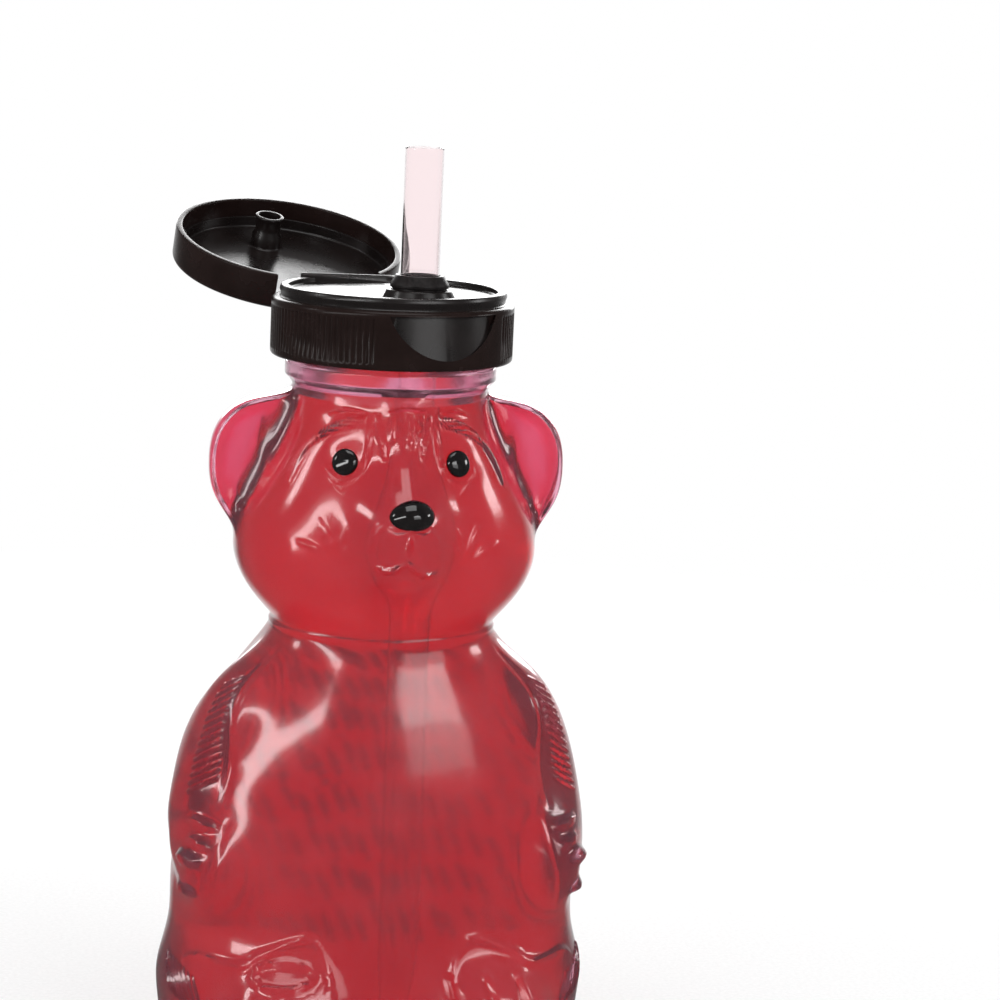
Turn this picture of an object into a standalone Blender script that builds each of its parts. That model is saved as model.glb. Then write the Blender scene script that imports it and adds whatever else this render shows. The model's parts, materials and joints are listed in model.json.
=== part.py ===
"""Honey bear straw cup: a blow-moulded bear bottle, a threaded flip-top cap and a straw that slides.

Units are metres, +Z is up, the bear looks along -Y, and the origin is the middle of its base.
The lid is modelled standing open and the straw pulled up, as the cup is held for drinking.
"""

import math

import bmesh
import bpy
import numpy as np
from mathutils import Matrix, Vector

for old in list(bpy.data.objects):
    bpy.data.objects.remove(old, do_unlink=True)
CUP = bpy.data.collections.new("honey_bear_straw_cup")
TOOLS = bpy.data.collections.new("cutters")
bpy.context.scene.collection.children.link(CUP)
bpy.context.scene.collection.children.link(TOOLS)

MM = 0.001

# Clearances between pieces, and how deep a joined shape is buried
REST_GAP = 0.3 * MM
STRAW_CLEARANCE = 0.25 * MM
THREAD_CLEARANCE = 0.4 * MM
LID_CLEARANCE = 0.2 * MM
POST_CLEARANCE = 0.35 * MM
BURIED = 0.3 * MM

# Bear bottle
BODY_HEIGHT = 87.9 * MM
HEAD_HEIGHT = 40.6 * MM
BELLY_HALF_WIDTH = 35.0 * MM
BELLY_FRONT = 27.0 * MM
BELLY_BACK = 25.0 * MM
WAIST_HALF_WIDTH = 18.5 * MM
WAIST_DEPTH = 17.2 * MM
HEAD_HALF_WIDTH = 25.9 * MM
HEAD_FRONT = 21.6 * MM
HEAD_BACK = 21.5 * MM
CROWN_RADIUS = 16.6 * MM
BASE_ROUND = 4.0 * MM
BODY_WALL = 0.9 * MM
EAR_REACH = 30.4 * MM
EAR_ROOT = 16.0 * MM
EAR_HEIGHT = 23.8 * MM
EAR_ABOVE_WAIST = 27.1 * MM
EAR_THICKNESS = 6.0 * MM
EAR_DISH = 0.75 * MM
EAR_SPAN = math.radians(12.0)
EAR_ROUNDNESS = 2.6
SQUARENESS = 2.25

# Raised forms on the bear: half width and rise of each
ARM_HALF_WIDTH = 9.5 * MM
ARM_RISE = 3.0 * MM
PAW_HALF_WIDTH = 7.0 * MM
PAW_RISE = 1.6 * MM
THIGH_HALF_WIDTH = 15.0 * MM
THIGH_RISE = 3.0 * MM
FOOT_HALF_WIDTH = 13.0 * MM
FOOT_RISE = 6.0 * MM
MUZZLE_HALF_WIDTH = 10.5 * MM
MUZZLE_RISE = 6.8 * MM
BRIDGE_HALF_WIDTH = 4.5 * MM
BRIDGE_RISE = 1.1 * MM
SOCKET_HALF_WIDTH = 5.0 * MM
SOCKET_DEPTH = 0.8 * MM
BROW_HALF_WIDTH = 2.8 * MM
BROW_RISE = 0.6 * MM
CHEEK_HALF_WIDTH = 9.0 * MM
CHEEK_RISE = 1.1 * MM

# Bottle neck and thread
NECK_HEIGHT = 12.9 * MM
NECK_RADIUS = 17.3 * MM
NECK_WALL = 1.4 * MM
NECK_EDGE = 0.4 * MM
BEAD_STANDS_OUT = 0.6 * MM
BEAD_LOW = 1.6 * MM
BEAD_HIGH = 3.7 * MM
THREAD_PITCH = 4.2333 * MM
THREAD_DEPTH = 1.3 * MM
THREAD_ROOT_WIDTH = 1.6 * MM
THREAD_CREST_WIDTH = 0.7 * MM
THREAD_BELOW_LIP = 5.8 * MM
THREAD_START = math.radians(-100.0)

# Screw cap
CAP_WALL = 1.5 * MM
CAP_SKIRT_HEIGHT = 9.8 * MM
CAP_TURN = math.radians(19.5)
SHOULDER_ROUND = 0.9 * MM
SKIRT_ROUND = 0.8 * MM
DECK_THICKNESS = 1.2 * MM
DECK_RECESS = 1.0 * MM
RIM_HEIGHT = 2.0 * MM
RIM_STEP = 1.5 * MM
RIM_WALL = 1.4 * MM
RIM_EDGE = 0.3 * MM
SNAP_BEAD = 0.15 * MM
NOTCH_WIDTH = 19.6 * MM
NOTCH_HEIGHT = 7.2 * MM
NOTCH_LEDGE = 0.8 * MM
NOTCH_DEPTH = 1.1 * MM
LINER_THICKNESS = 0.8 * MM
LINER_WIDTH = 4.2 * MM

# Spout, straw seal and straw
SPOUT_RADIUS = 6.0 * MM
SPOUT_HEIGHT = 1.6 * MM
SPOUT_CHAMFER = 0.5 * MM
SEAL_WALL = 0.95 * MM
SEAL_LIP = 0.5 * MM
SEAL_FLANGE_HEIGHT = 2.1 * MM
SEAL_FLANGE_EDGE = 0.6 * MM
SEAL_BARB_HEIGHT = 0.8 * MM
SEAL_TO_LINER = 0.4 * MM
STRAW_RADIUS = 3.2 * MM
STRAW_WALL = 0.3 * MM
STRAW_SHOWN = 25.0 * MM
STRAW_SUNK = 1.0 * MM
STRAW_FLOOR_GAP = 1.1 * MM

# Flip lid and hinge
LID_HEADROOM = 0.5 * MM
LID_PLATE = 1.2 * MM
LID_EDGE_ROUND = 0.9 * MM
LID_OPEN = math.radians(164.0)
LID_CUTAWAY = 20.0 * MM
POST_LENGTH = 6.0 * MM
POST_TAPER = 0.4 * MM
POST_WALL = 0.75 * MM
POST_FLOOR = 1.0 * MM
HINGE_OVERHANG = 0.7 * MM
HINGE_BEAD_RADIUS = 0.5 * MM
HINGE_RISE = 0.4 * MM
HINGE_WIDTH = 12.0 * MM
HINGE_LEAF = 0.8 * MM

# Eyes and nose
EYE_ANGLE = math.radians(28.5)
EYE_ABOVE_WAIST = 29.8 * MM
EYE_RADIUS = 2.25 * MM
EYE_HEIGHT = 1.3 * MM
NOSE_ABOVE_WAIST = 22.7 * MM
NOSE_HALF_WIDTH = 3.5 * MM
NOSE_HALF_HEIGHT = 2.3 * MM
NOSE_HEIGHT = 1.5 * MM

# Mesh steps
FRONT_COLUMNS = 20
BACK_COLUMNS = 10
EAR_COLUMNS = 8
BODY_ROWS = 19
HEAD_ROWS = 11
TURN_STEPS = 60
THREAD_STEPS = 36
SMALL_STEPS = 24

# Sizes worked out from the ones above
CROWN_Z = BODY_HEIGHT + HEAD_HEIGHT
LIP_Z = CROWN_Z + NECK_HEIGHT
EAR_CENTRE_Z = BODY_HEIGHT + EAR_ABOVE_WAIST
CAP_BORE = NECK_RADIUS + THREAD_DEPTH + THREAD_CLEARANCE
CAP_RADIUS = CAP_BORE + CAP_WALL
SEAL_BORE = STRAW_RADIUS + STRAW_CLEARANCE
SEAL_RADIUS = SEAL_BORE + SEAL_WALL
FLANGE_RADIUS = SEAL_RADIUS + SEAL_LIP
LINER_RADIUS = CAP_BORE - REST_GAP
LINER_BORE = LINER_RADIUS - LINER_WIDTH
SPOUT_OFFSET = LINER_BORE - SEAL_TO_LINER - FLANGE_RADIUS
SPOUT_BORE = SEAL_RADIUS + REST_GAP
STRAW_BORE = STRAW_RADIUS - STRAW_WALL
RIM_RADIUS = CAP_RADIUS - RIM_STEP
LID_BORE = RIM_RADIUS + SNAP_BEAD + LID_CLEARANCE
POST_RADIUS = STRAW_BORE - POST_CLEARANCE
HINGE_REACH = CAP_RADIUS + HINGE_OVERHANG

# Heights of the closure's pieces above the bottle's lip
LINER_LOW = REST_GAP
LINER_HIGH = LINER_LOW + LINER_THICKNESS
DECK_LOW = LINER_HIGH + REST_GAP
DECK_HIGH = DECK_LOW + DECK_THICKNESS
RIM_TOP = DECK_HIGH + DECK_RECESS
SHOULDER = RIM_TOP - RIM_HEIGHT
SKIRT_LOW = SHOULDER - CAP_SKIRT_HEIGHT
SPOUT_TOP = DECK_HIGH + SPOUT_HEIGHT
SEAL_LOW = SPOUT_TOP + REST_GAP
SEAL_TOP = SEAL_LOW + SEAL_FLANGE_HEIGHT
STRAW_TOP = DECK_HIGH + STRAW_SHOWN
STRAW_TRAVEL = STRAW_TOP - SEAL_TOP + STRAW_SUNK
STRAW_LOW = BODY_WALL + STRAW_FLOOR_GAP + STRAW_TRAVEL - LIP_Z
LID_LOW = SHOULDER + REST_GAP
PLATE_LOW = SEAL_TOP + LID_HEADROOM
LID_HIGH = PLATE_LOW + LID_PLATE
HINGE_HEIGHT = SHOULDER + HINGE_RISE

# Shares of the body's height, half width, front and back, from the base to just under the waist
BODY_SECTIONS = (
    (0.000, 0.900, 0.930, 0.930),
    (0.159, 0.940, 0.965, 0.975),
    (0.319, 0.985, 0.990, 1.000),
    (0.478, 1.000, 1.000, 1.000),
    (0.637, 0.945, 0.955, 0.980),
    (0.750, 0.885, 0.885, 0.930),
    (0.830, 0.815, 0.815, 0.875),
    (0.888, 0.735, 0.745, 0.810),
    (0.933, 0.650, 0.690, 0.760),
    (0.967, 0.580, 0.650, 0.710),
)
# Shares of the head's height, half width, front and back, from just over the waist to the crown
HEAD_SECTIONS = (
    (0.064, 0.795, 0.861, 0.847),
    (0.150, 0.911, 0.949, 0.930),
    (0.305, 1.000, 0.995, 1.000),
    (0.446, 0.969, 1.000, 1.000),
    (0.569, 0.884, 0.972, 0.967),
    (0.700, 0.784, 0.926, 0.912),
    (0.833, 0.687, 0.856, 0.847),
    (0.948, 0.641, 0.787, 0.790),
)


def smooth_step(value):
    """0 below 0, 1 above 1, and a soft curve between."""
    t = np.clip(value, 0.0, 1.0)
    return t * t * (3 - 2 * t)


def smooth_curve(at, knots, values):
    """A curve through the knots with matching slopes, without overshoot."""
    rise = np.diff(values) / np.diff(knots)
    before, after = rise[:-1], rise[1:]
    same_way = before * after > 0
    slope = np.zeros(len(values))
    slope[1:-1] = np.where(same_way, 2 * before * after / np.where(same_way, before + after, 1), 0)
    slope[0], slope[-1] = rise[0], rise[-1]
    i = np.clip(np.searchsorted(knots, at) - 1, 0, len(rise) - 1)
    step = knots[i + 1] - knots[i]
    t = np.clip((at - knots[i]) / step, 0, 1)
    low = values[i] * (1 + 2 * t) * (1 - t) ** 2 + slope[i] * step * t * (1 - t) ** 2
    high = values[i + 1] * t * t * (3 - 2 * t) + slope[i + 1] * step * t * t * (t - 1)
    return low + high


def section_table():
    """Height, half width, front and back of every section, from the base to the crown."""
    body = [
        (s * BODY_HEIGHT, w * BELLY_HALF_WIDTH, f * BELLY_FRONT, b * BELLY_BACK)
        for s, w, f, b in BODY_SECTIONS
    ]
    waist = [(BODY_HEIGHT, WAIST_HALF_WIDTH, WAIST_DEPTH, WAIST_DEPTH)]
    head = [
        (BODY_HEIGHT + s * HEAD_HEIGHT, w * HEAD_HALF_WIDTH, f * HEAD_FRONT, b * HEAD_BACK)
        for s, w, f, b in HEAD_SECTIONS
    ]
    crown = [(CROWN_Z, CROWN_RADIUS, CROWN_RADIUS, CROWN_RADIUS)]
    return np.array(body + waist + head + crown).T


def plain_skin(angle, z):
    """Points of the bear without limbs or face. Angle 0 is the front and grows towards +X."""
    knots, widths, fronts, backs = section_table()
    width = smooth_curve(z, knots, widths)
    front = smooth_curve(z, knots, fronts)
    back = smooth_curve(z, knots, backs)
    depth = np.where(np.cos(angle) > 0, front, back)
    power = 2 + (SQUARENESS - 2) * smooth_step((CROWN_Z - z) / (HEAD_HEIGHT / 2))
    reach = (np.abs(np.sin(angle)) / width) ** power + (np.abs(np.cos(angle)) / depth) ** power
    reach = reach ** (-1 / power)
    return np.stack([reach * np.sin(angle), -reach * np.cos(angle), z], axis=-1)


def ridge_lift(points, path, half_width, height, slope):
    """Height of a rounded ridge along path; slope is the share of its half width that rises."""
    ends = [plain_skin(np.radians(a), np.array(z)) for a, z in path]
    nearest = np.full(points.shape[:-1], np.inf)
    for start, end in zip(ends, ends[1:] or ends):
        run = end - start
        length = max(float(run @ run), 1e-12)
        t = np.clip(((points - start) @ run) / length, 0, 1)
        nearest = np.minimum(nearest, np.linalg.norm(points - start - t[..., None] * run, axis=-1))
    return height * smooth_step((1 - nearest / half_width) / slope)


def limb_ridges():
    """Arm, paw, thigh and foot: (degrees from the front, height) points, half width, height, slope."""
    b = BODY_HEIGHT
    arm = [(72, 0.875 * b), (82, 0.76 * b), (78, 0.64 * b), (64, 0.565 * b)]
    return [
        (arm, ARM_HALF_WIDTH, ARM_RISE, 0.5),
        ([(60, 0.56 * b)], PAW_HALF_WIDTH, PAW_RISE, 0.7),
        ([(88, 0.24 * b), (46, 0.30 * b)], THIGH_HALF_WIDTH, THIGH_RISE, 0.7),
        ([(34, 0.12 * b), (31, 0.26 * b)], FOOT_HALF_WIDTH, FOOT_RISE, 0.5),
    ]


def face_ridges():
    """Muzzle and bridge, then one side's eye socket, brow and cheek, in the same terms."""
    waist, tall = BODY_HEIGHT, HEAD_HEIGHT
    brow = [(12, waist + 0.83 * tall), (25, waist + 0.88 * tall), (40, waist + 0.81 * tall)]
    muzzle = [(0, waist + 0.50 * tall), (0, waist + 0.38 * tall)]
    bridge = [(0, waist + 0.93 * tall), (0, waist + 0.62 * tall)]
    socket = [(math.degrees(EYE_ANGLE), waist + EYE_ABOVE_WAIST)]
    cheek = [(38, waist + 0.29 * tall)]
    middle = [
        (muzzle, MUZZLE_HALF_WIDTH, MUZZLE_RISE, 0.9),
        (bridge, BRIDGE_HALF_WIDTH, BRIDGE_RISE, 1.0),
    ]
    side = [
        (socket, SOCKET_HALF_WIDTH, -SOCKET_DEPTH, 1.0),
        (brow, BROW_HALF_WIDTH, BROW_RISE, 1.0),
        (cheek, CHEEK_HALF_WIDTH, CHEEK_RISE, 1.0),
    ]
    return middle, side


def all_ridges():
    middle, side = face_ridges()
    side = side + limb_ridges()
    other_side = [([(-a, z) for a, z in path], *sizes) for path, *sizes in side]
    return middle + side + other_side


def skin(angle, z):
    """Points of the bear's outside, ears left out."""
    angle, z = np.broadcast_arrays(np.asarray(angle, float), np.asarray(z, float))
    points = plain_skin(angle, z)
    lift = sum(ridge_lift(points, *ridge) for ridge in all_ridges())
    below_round = np.clip(1 - z / BASE_ROUND, 0, 1)
    lift = lift - BASE_ROUND * (1 - np.sqrt(1 - below_round**2))
    points[..., 0] += lift * np.sin(angle)
    points[..., 1] -= lift * np.cos(angle)
    return points


def skin_columns():
    """Angle of each column round the bear, with closer ones at the ears."""
    side = math.pi / 2
    stops = [-side + EAR_SPAN, side - EAR_SPAN, side + EAR_SPAN, 3 * side - EAR_SPAN, 3 * side + EAR_SPAN]
    counts = [FRONT_COLUMNS, EAR_COLUMNS, BACK_COLUMNS, EAR_COLUMNS]
    spans = zip(stops, stops[1:], counts)
    return np.concatenate([np.linspace(a, b, count, endpoint=False) for a, b, count in spans])


def skin_rows():
    """Height of each row, with closer ones at the base, the waist and the ears' tops."""
    ear_top = EAR_CENTRE_Z + EAR_HEIGHT / 2
    base = BASE_ROUND * np.array([0, 0.12, 0.4])
    body = np.linspace(BASE_ROUND, 0.965 * BODY_HEIGHT, BODY_ROWS)
    waist = BODY_HEIGHT + HEAD_HEIGHT * np.array([0, 0.04, 0.09])
    head = np.linspace(BODY_HEIGHT + 0.16 * HEAD_HEIGHT, ear_top - 0.1 * EAR_HEIGHT, HEAD_ROWS)
    ear = ear_top - EAR_HEIGHT * np.array([0.04, 0])
    return np.concatenate([base, body, waist, head, ear, [CROWN_Z]])


def draw_out_ears(points, angle):
    """Draws the side columns out into two thin ears, each with a rim round a dished face."""
    across = (np.abs(np.angle(np.exp(1j * angle))) - math.pi / 2) / EAR_SPAN
    up = (points[..., 2] - EAR_CENTRE_Z) / (EAR_HEIGHT / 2)
    outline = (1 - np.minimum(np.abs(up), 1) ** EAR_ROUNDNESS) ** (1 / EAR_ROUNDNESS)
    edge = EAR_ROOT + (EAR_REACH - EAR_ROOT) * outline
    out = edge - np.abs(points[..., 0])
    in_ear = (np.abs(up) < 1) & (np.abs(across) < 0.99) & (out > 0)
    out = np.where(in_ear, out, 0)
    half = EAR_THICKNESS / 2
    spots = [0, 0.25, 0.5, 0.75, 1]
    pull = np.interp(np.abs(across), spots, [1.0, 1.0, 0.92, 0.45, 0])
    thick = np.interp(np.abs(across), spots, [0, 0.6 * half, half, half - EAR_DISH, half])
    ease = np.clip(out / half, 0, 1)
    points[..., 0] += np.sign(points[..., 0]) * out * pull
    points[..., 1] += ease * (np.sign(across) * thick - points[..., 1])
    return points


def neck_rings(angles):
    """Circles of the neck above the crown: support bead, threaded wall and lip."""
    profile = [
        (BEAD_LOW - BEAD_STANDS_OUT, NECK_RADIUS),
        (BEAD_LOW, NECK_RADIUS + BEAD_STANDS_OUT),
        (BEAD_HIGH, NECK_RADIUS + BEAD_STANDS_OUT),
        (BEAD_HIGH + NECK_EDGE, NECK_RADIUS),
        (NECK_HEIGHT - NECK_EDGE, NECK_RADIUS),
        (NECK_HEIGHT, NECK_RADIUS - NECK_EDGE),
    ]
    level = np.ones(len(angles))
    around = np.sin(angles), -np.cos(angles)
    return [np.column_stack([r * around[0], r * around[1], (CROWN_Z + up) * level]) for up, r in profile]


def add_object(name, mesh, finish, collection=CUP):
    """A named object of one material, shaded smooth with its hard edges kept."""
    obj = bpy.data.objects.new(name, mesh)
    collection.objects.link(obj)
    if finish:
        mesh.materials.append(finish)
        mesh.shade_smooth()
        mesh.set_sharp_from_angle(angle=math.radians(35))
    return obj


def mesh_from(bm, name):
    mesh = bpy.data.meshes.new(name)
    bm.to_mesh(mesh)
    bm.free()
    return mesh


def cylinder(radius, height, tip_radius=None, steps=SMALL_STEPS):
    """Mesh of an upright cylinder or cone whose foot is at the origin."""
    bm = bmesh.new()
    tip = radius if tip_radius is None else tip_radius
    upright = Matrix.Translation((0, 0, height / 2))
    bmesh.ops.create_cone(
        bm, cap_ends=True, segments=steps, radius1=radius, radius2=tip, depth=height, matrix=upright
    )
    return mesh_from(bm, "cylinder")


def box(low, high):
    """Mesh of a box between two corners."""
    low, high = Vector(low), Vector(high)
    bm = bmesh.new()
    size = Matrix.Diagonal((*(high - low), 1))
    bmesh.ops.create_cube(bm, size=1.0, matrix=Matrix.Translation((low + high) / 2) @ size)
    return mesh_from(bm, "box")


def profile_mesh(name, profile):
    """Edges through (radius, height) points, closed to a loop unless it starts on the axis."""
    count = len(profile)
    edges = [(i, i + 1) for i in range(count - 1)]
    if profile[0][0] > 0:
        edges.append((count - 1, 0))
    mesh = bpy.data.meshes.new(name)
    mesh.from_pydata([(r, 0, z) for r, z in profile], edges, [])
    return mesh


def add_screw(obj, steps, rise=0.0):
    """Turns an object's profile once round Z, climbing by rise."""
    screw = obj.modifiers.new("Screw", "SCREW")
    screw.steps = steps
    screw.render_steps = steps
    screw.screw_offset = rise
    screw.use_merge_vertices = rise == 0
    screw.merge_threshold = 0.00001


def turned(name, profile, finish, steps=TURN_STEPS):
    """An object turned from a profile that runs down its outer side."""
    obj = add_object(name, profile_mesh(name, profile), finish)
    add_screw(obj, steps)
    return obj


def add_tool(name, mesh, owner, location=(0, 0, 0), rotation=(0, 0, 0)):
    """A shape that is joined to its owner or cut from it, and moves with it."""
    tool = add_object(name, mesh, None, TOOLS)
    tool.location = location
    tool.rotation_euler = rotation
    tool.parent = owner
    tool.hide_render = True
    tool.display_type = "WIRE"
    return tool


def boolean(obj, operation, tool):
    change = obj.modifiers.new(tool.name, "BOOLEAN")
    change.operation = operation
    change.object = tool


def weld_slivers(obj):
    """Merges points that a cut left almost on each other."""
    weld = obj.modifiers.new("Weld", "WELD")
    weld.merge_threshold = 0.000002


def evaluated_mesh(obj):
    bpy.context.view_layer.update()
    graph = bpy.context.evaluated_depsgraph_get()
    return bpy.data.meshes.new_from_object(obj.evaluated_get(graph))


def thread_mesh(root_radius, crest_radius):
    """One right-hand turn of a trapezoid ridge from height 0 at +X, with flat ends."""
    root, crest = THREAD_ROOT_WIDTH / 2, THREAD_CREST_WIDTH / 2
    corners = [(crest_radius, crest), (crest_radius, -crest), (root_radius, -root), (root_radius, root)]
    guide = add_object("thread_profile", profile_mesh("thread", corners), None, TOOLS)
    add_screw(guide, THREAD_STEPS, THREAD_PITCH)
    bm = bmesh.new()
    bm.from_mesh(evaluated_mesh(guide))
    bpy.data.objects.remove(guide)
    bmesh.ops.holes_fill(bm, edges=[edge for edge in bm.edges if edge.is_boundary])
    bmesh.ops.recalc_face_normals(bm, faces=bm.faces)
    return mesh_from(bm, "thread")


def skin_mesh(rings):
    """The bear's open outer skin: quads between the rings, and the base face."""
    bm = bmesh.new()
    loops = [[bm.verts.new(point) for point in ring] for ring in rings]
    for low, high in zip(loops, loops[1:]):
        for i in range(len(low)):
            bm.faces.new((low[i - 1], low[i], high[i], high[i - 1]))
    bm.faces.new(loops[0][::-1])
    return mesh_from(bm, "bear_bottle")


def make_bottle(plastic):
    """The skin with its wall inside it, thicker at the neck, and the outer thread joined on."""
    angles, rows = skin_columns(), skin_rows()
    grid_angle, grid_z = np.meshgrid(angles, rows)
    rings = list(draw_out_ears(skin(grid_angle, grid_z), grid_angle)) + neck_rings(angles)
    bottle = add_object("bear_bottle", skin_mesh(rings), plastic)
    thickest = max(BODY_WALL, NECK_WALL)
    split = len(rows) * len(angles)
    wall = bottle.vertex_groups.new(name="wall")
    wall.add(range(split), BODY_WALL / thickest, "REPLACE")
    wall.add(range(split, len(bottle.data.vertices)), NECK_WALL / thickest, "REPLACE")
    shell = bottle.modifiers.new("Solidify", "SOLIDIFY")
    shell.thickness = thickest
    shell.offset = -1
    shell.vertex_group = "wall"
    ridge = thread_mesh(NECK_RADIUS - BURIED, NECK_RADIUS + THREAD_DEPTH)
    place = (0, 0, LIP_Z - THREAD_BELOW_LIP)
    boolean(bottle, "UNION", add_tool("bottle_thread", ridge, bottle, place, (0, 0, THREAD_START)))
    weld_slivers(bottle)


def make_button(name, angle, z, half_width, half_height, height, finish):
    """A ball pressed into a domed pad that follows the skin, as an eye or nose does."""
    beside = 0.05 * MM
    turn = beside / float(np.linalg.norm(skin(angle, z)[:2]))
    bm = bmesh.new()
    bmesh.ops.create_uvsphere(bm, u_segments=16, v_segments=8, radius=1.0)
    for vert in bm.verts:
        side, up, out = vert.co
        a = angle + turn / beside * half_width * side
        h = z + half_height * up
        foot = skin(a, h)
        normal = np.cross(skin(a + turn, h) - foot, skin(a, h + beside) - foot)
        vert.co = foot + normal / np.linalg.norm(normal) * (REST_GAP + height * max(out, 0))
    add_object(name, mesh_from(bm, name), finish)


def make_face(black):
    eye_z = BODY_HEIGHT + EYE_ABOVE_WAIST
    nose_z = BODY_HEIGHT + NOSE_ABOVE_WAIST
    make_button("left_eye", EYE_ANGLE, eye_z, EYE_RADIUS, EYE_RADIUS, EYE_HEIGHT, black)
    make_button("right_eye", -EYE_ANGLE, eye_z, EYE_RADIUS, EYE_RADIUS, EYE_HEIGHT, black)
    make_button("nose", 0.0, nose_z, NOSE_HALF_WIDTH, NOSE_HALF_HEIGHT, NOSE_HEIGHT, black)


def rounded_edge(radius, z, size):
    """Points of a convex quarter round from its top down to its outermost point."""
    turns = [math.radians(a) for a in (90, 60, 30, 0)]
    return [(radius - size + size * math.cos(a), z - size + size * math.sin(a)) for a in turns]


def cap_profile():
    """Half section of the cap: recessed deck, snap rim, shoulder and skirt."""
    deck = [(0, DECK_HIGH), (RIM_RADIUS - RIM_WALL, DECK_HIGH), (RIM_RADIUS - RIM_WALL, RIM_TOP)]
    rim = [
        (RIM_RADIUS - RIM_EDGE, RIM_TOP),
        (RIM_RADIUS + SNAP_BEAD, RIM_TOP - 2 * RIM_EDGE),
        (RIM_RADIUS, RIM_TOP - 4 * RIM_EDGE),
        (RIM_RADIUS, SHOULDER),
    ]
    skirt = rounded_edge(CAP_RADIUS, SHOULDER, SHOULDER_ROUND) + [
        (CAP_RADIUS, SKIRT_LOW + SKIRT_ROUND),
        (CAP_RADIUS - 0.3 * SKIRT_ROUND, SKIRT_LOW + 0.3 * SKIRT_ROUND),
        (CAP_RADIUS - SKIRT_ROUND, SKIRT_LOW),
        (CAP_BORE, SKIRT_LOW),
    ]
    return deck + rim + skirt + [(CAP_BORE, DECK_LOW), (0, DECK_LOW)]


def add_notch(cap):
    """A half-moon thumb notch in the front that grows deeper towards its flat top."""
    top = SHOULDER - NOTCH_LEDGE
    low = top - NOTCH_HEIGHT
    arc = (NOTCH_WIDTH**2 / 4 + NOTCH_HEIGHT**2) / (2 * NOTCH_HEIGHT)
    reach = 4 * CAP_WALL
    moon_mesh = cylinder(arc, reach, steps=4 * SMALL_STEPS)
    place = (0, reach / 2 - CAP_RADIUS, low + arc)
    moon = add_tool("notch", moon_mesh, cap, place, (math.pi / 2, 0, 0))
    above = box((-2 * arc, -2 * CAP_RADIUS, top), (2 * arc, 0, top + 2 * arc))
    core = cylinder(CAP_RADIUS, NOTCH_HEIGHT, CAP_RADIUS - NOTCH_DEPTH, steps=2 * TURN_STEPS)
    boolean(moon, "DIFFERENCE", add_tool("notch_ledge", above, cap))
    boolean(moon, "DIFFERENCE", add_tool("notch_floor", core, cap, (0, 0, low)))
    boolean(cap, "DIFFERENCE", moon)


def add_hinge_bead(cap):
    """The bead that the lid's leaf turns round, on a lug that reaches it from the rim."""
    half = HINGE_WIDTH / 2
    lug_low, lug_high = HINGE_HEIGHT - 0.9 * HINGE_BEAD_RADIUS, HINGE_HEIGHT + 0.6 * HINGE_BEAD_RADIUS
    lug = box((-half, RIM_RADIUS - BURIED, lug_low), (half, HINGE_REACH, lug_high))
    bead = cylinder(HINGE_BEAD_RADIUS, HINGE_WIDTH, steps=16)
    boolean(cap, "UNION", add_tool("hinge_lug", lug, cap))
    place = (-half, HINGE_REACH, HINGE_HEIGHT)
    boolean(cap, "UNION", add_tool("hinge_bead", bead, cap, place, (0, math.pi / 2, 0)))


def make_cap(black):
    """The threaded cap, with its spout, hinge bead and thumb notch, standing on the bottle's lip."""
    cap = turned("screw_cap", cap_profile(), black)
    cap.location.z = LIP_Z
    cap.rotation_euler.z = CAP_TURN
    below_thread = (THREAD_ROOT_WIDTH + THREAD_CREST_WIDTH) / 2 + REST_GAP
    ridge = thread_mesh(CAP_BORE + BURIED, NECK_RADIUS + THREAD_CLEARANCE)
    ridge_place = (0, 0, -THREAD_BELOW_LIP - below_thread)
    ridge_turn = (0, 0, THREAD_START - CAP_TURN)
    boolean(cap, "UNION", add_tool("cap_thread", ridge, cap, ridge_place, ridge_turn))
    spout = cylinder(SPOUT_RADIUS, SPOUT_HEIGHT + BURIED, SPOUT_RADIUS - SPOUT_CHAMFER)
    boolean(cap, "UNION", add_tool("spout", spout, cap, (0, -SPOUT_OFFSET, DECK_HIGH - BURIED)))
    add_hinge_bead(cap)
    add_notch(cap)
    bore = cylinder(SPOUT_BORE, SPOUT_TOP - DECK_LOW + 2 * REST_GAP)
    boolean(cap, "DIFFERENCE", add_tool("spout_bore", bore, cap, (0, -SPOUT_OFFSET, DECK_LOW - REST_GAP)))
    weld_slivers(cap)


def make_liner(foam):
    """The flat sealing ring between the bottle's lip and the cap."""
    outer_side = [(LINER_RADIUS, LINER_HIGH), (LINER_RADIUS, LINER_LOW)]
    bore = [(LINER_BORE, LINER_LOW), (LINER_BORE, LINER_HIGH)]
    turned("cap_liner", outer_side + bore, foam).location.z = LIP_Z


def spout_place():
    """Where the spout's axis crosses the height of the bottle's lip."""
    return (SPOUT_OFFSET * math.sin(CAP_TURN), -SPOUT_OFFSET * math.cos(CAP_TURN), LIP_Z)


def make_seal(rubber):
    """The straw seal: tapered flange on the spout, sleeve through the deck and barb below it."""
    barb_high = DECK_LOW - REST_GAP
    barb_low = barb_high - SEAL_BARB_HEIGHT
    profile = [
        (SEAL_BORE, SEAL_TOP),
        (FLANGE_RADIUS - 1.6 * SEAL_LIP, SEAL_TOP),
        (FLANGE_RADIUS, SEAL_LOW + SEAL_FLANGE_EDGE),
        (FLANGE_RADIUS, SEAL_LOW),
        (SEAL_RADIUS, SEAL_LOW),
        (SEAL_RADIUS, barb_high),
        (FLANGE_RADIUS, barb_high),
        (SEAL_RADIUS, barb_low),
        (SEAL_BORE, barb_low),
    ]
    turned("straw_seal", profile, rubber, SMALL_STEPS).location = spout_place()


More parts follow.
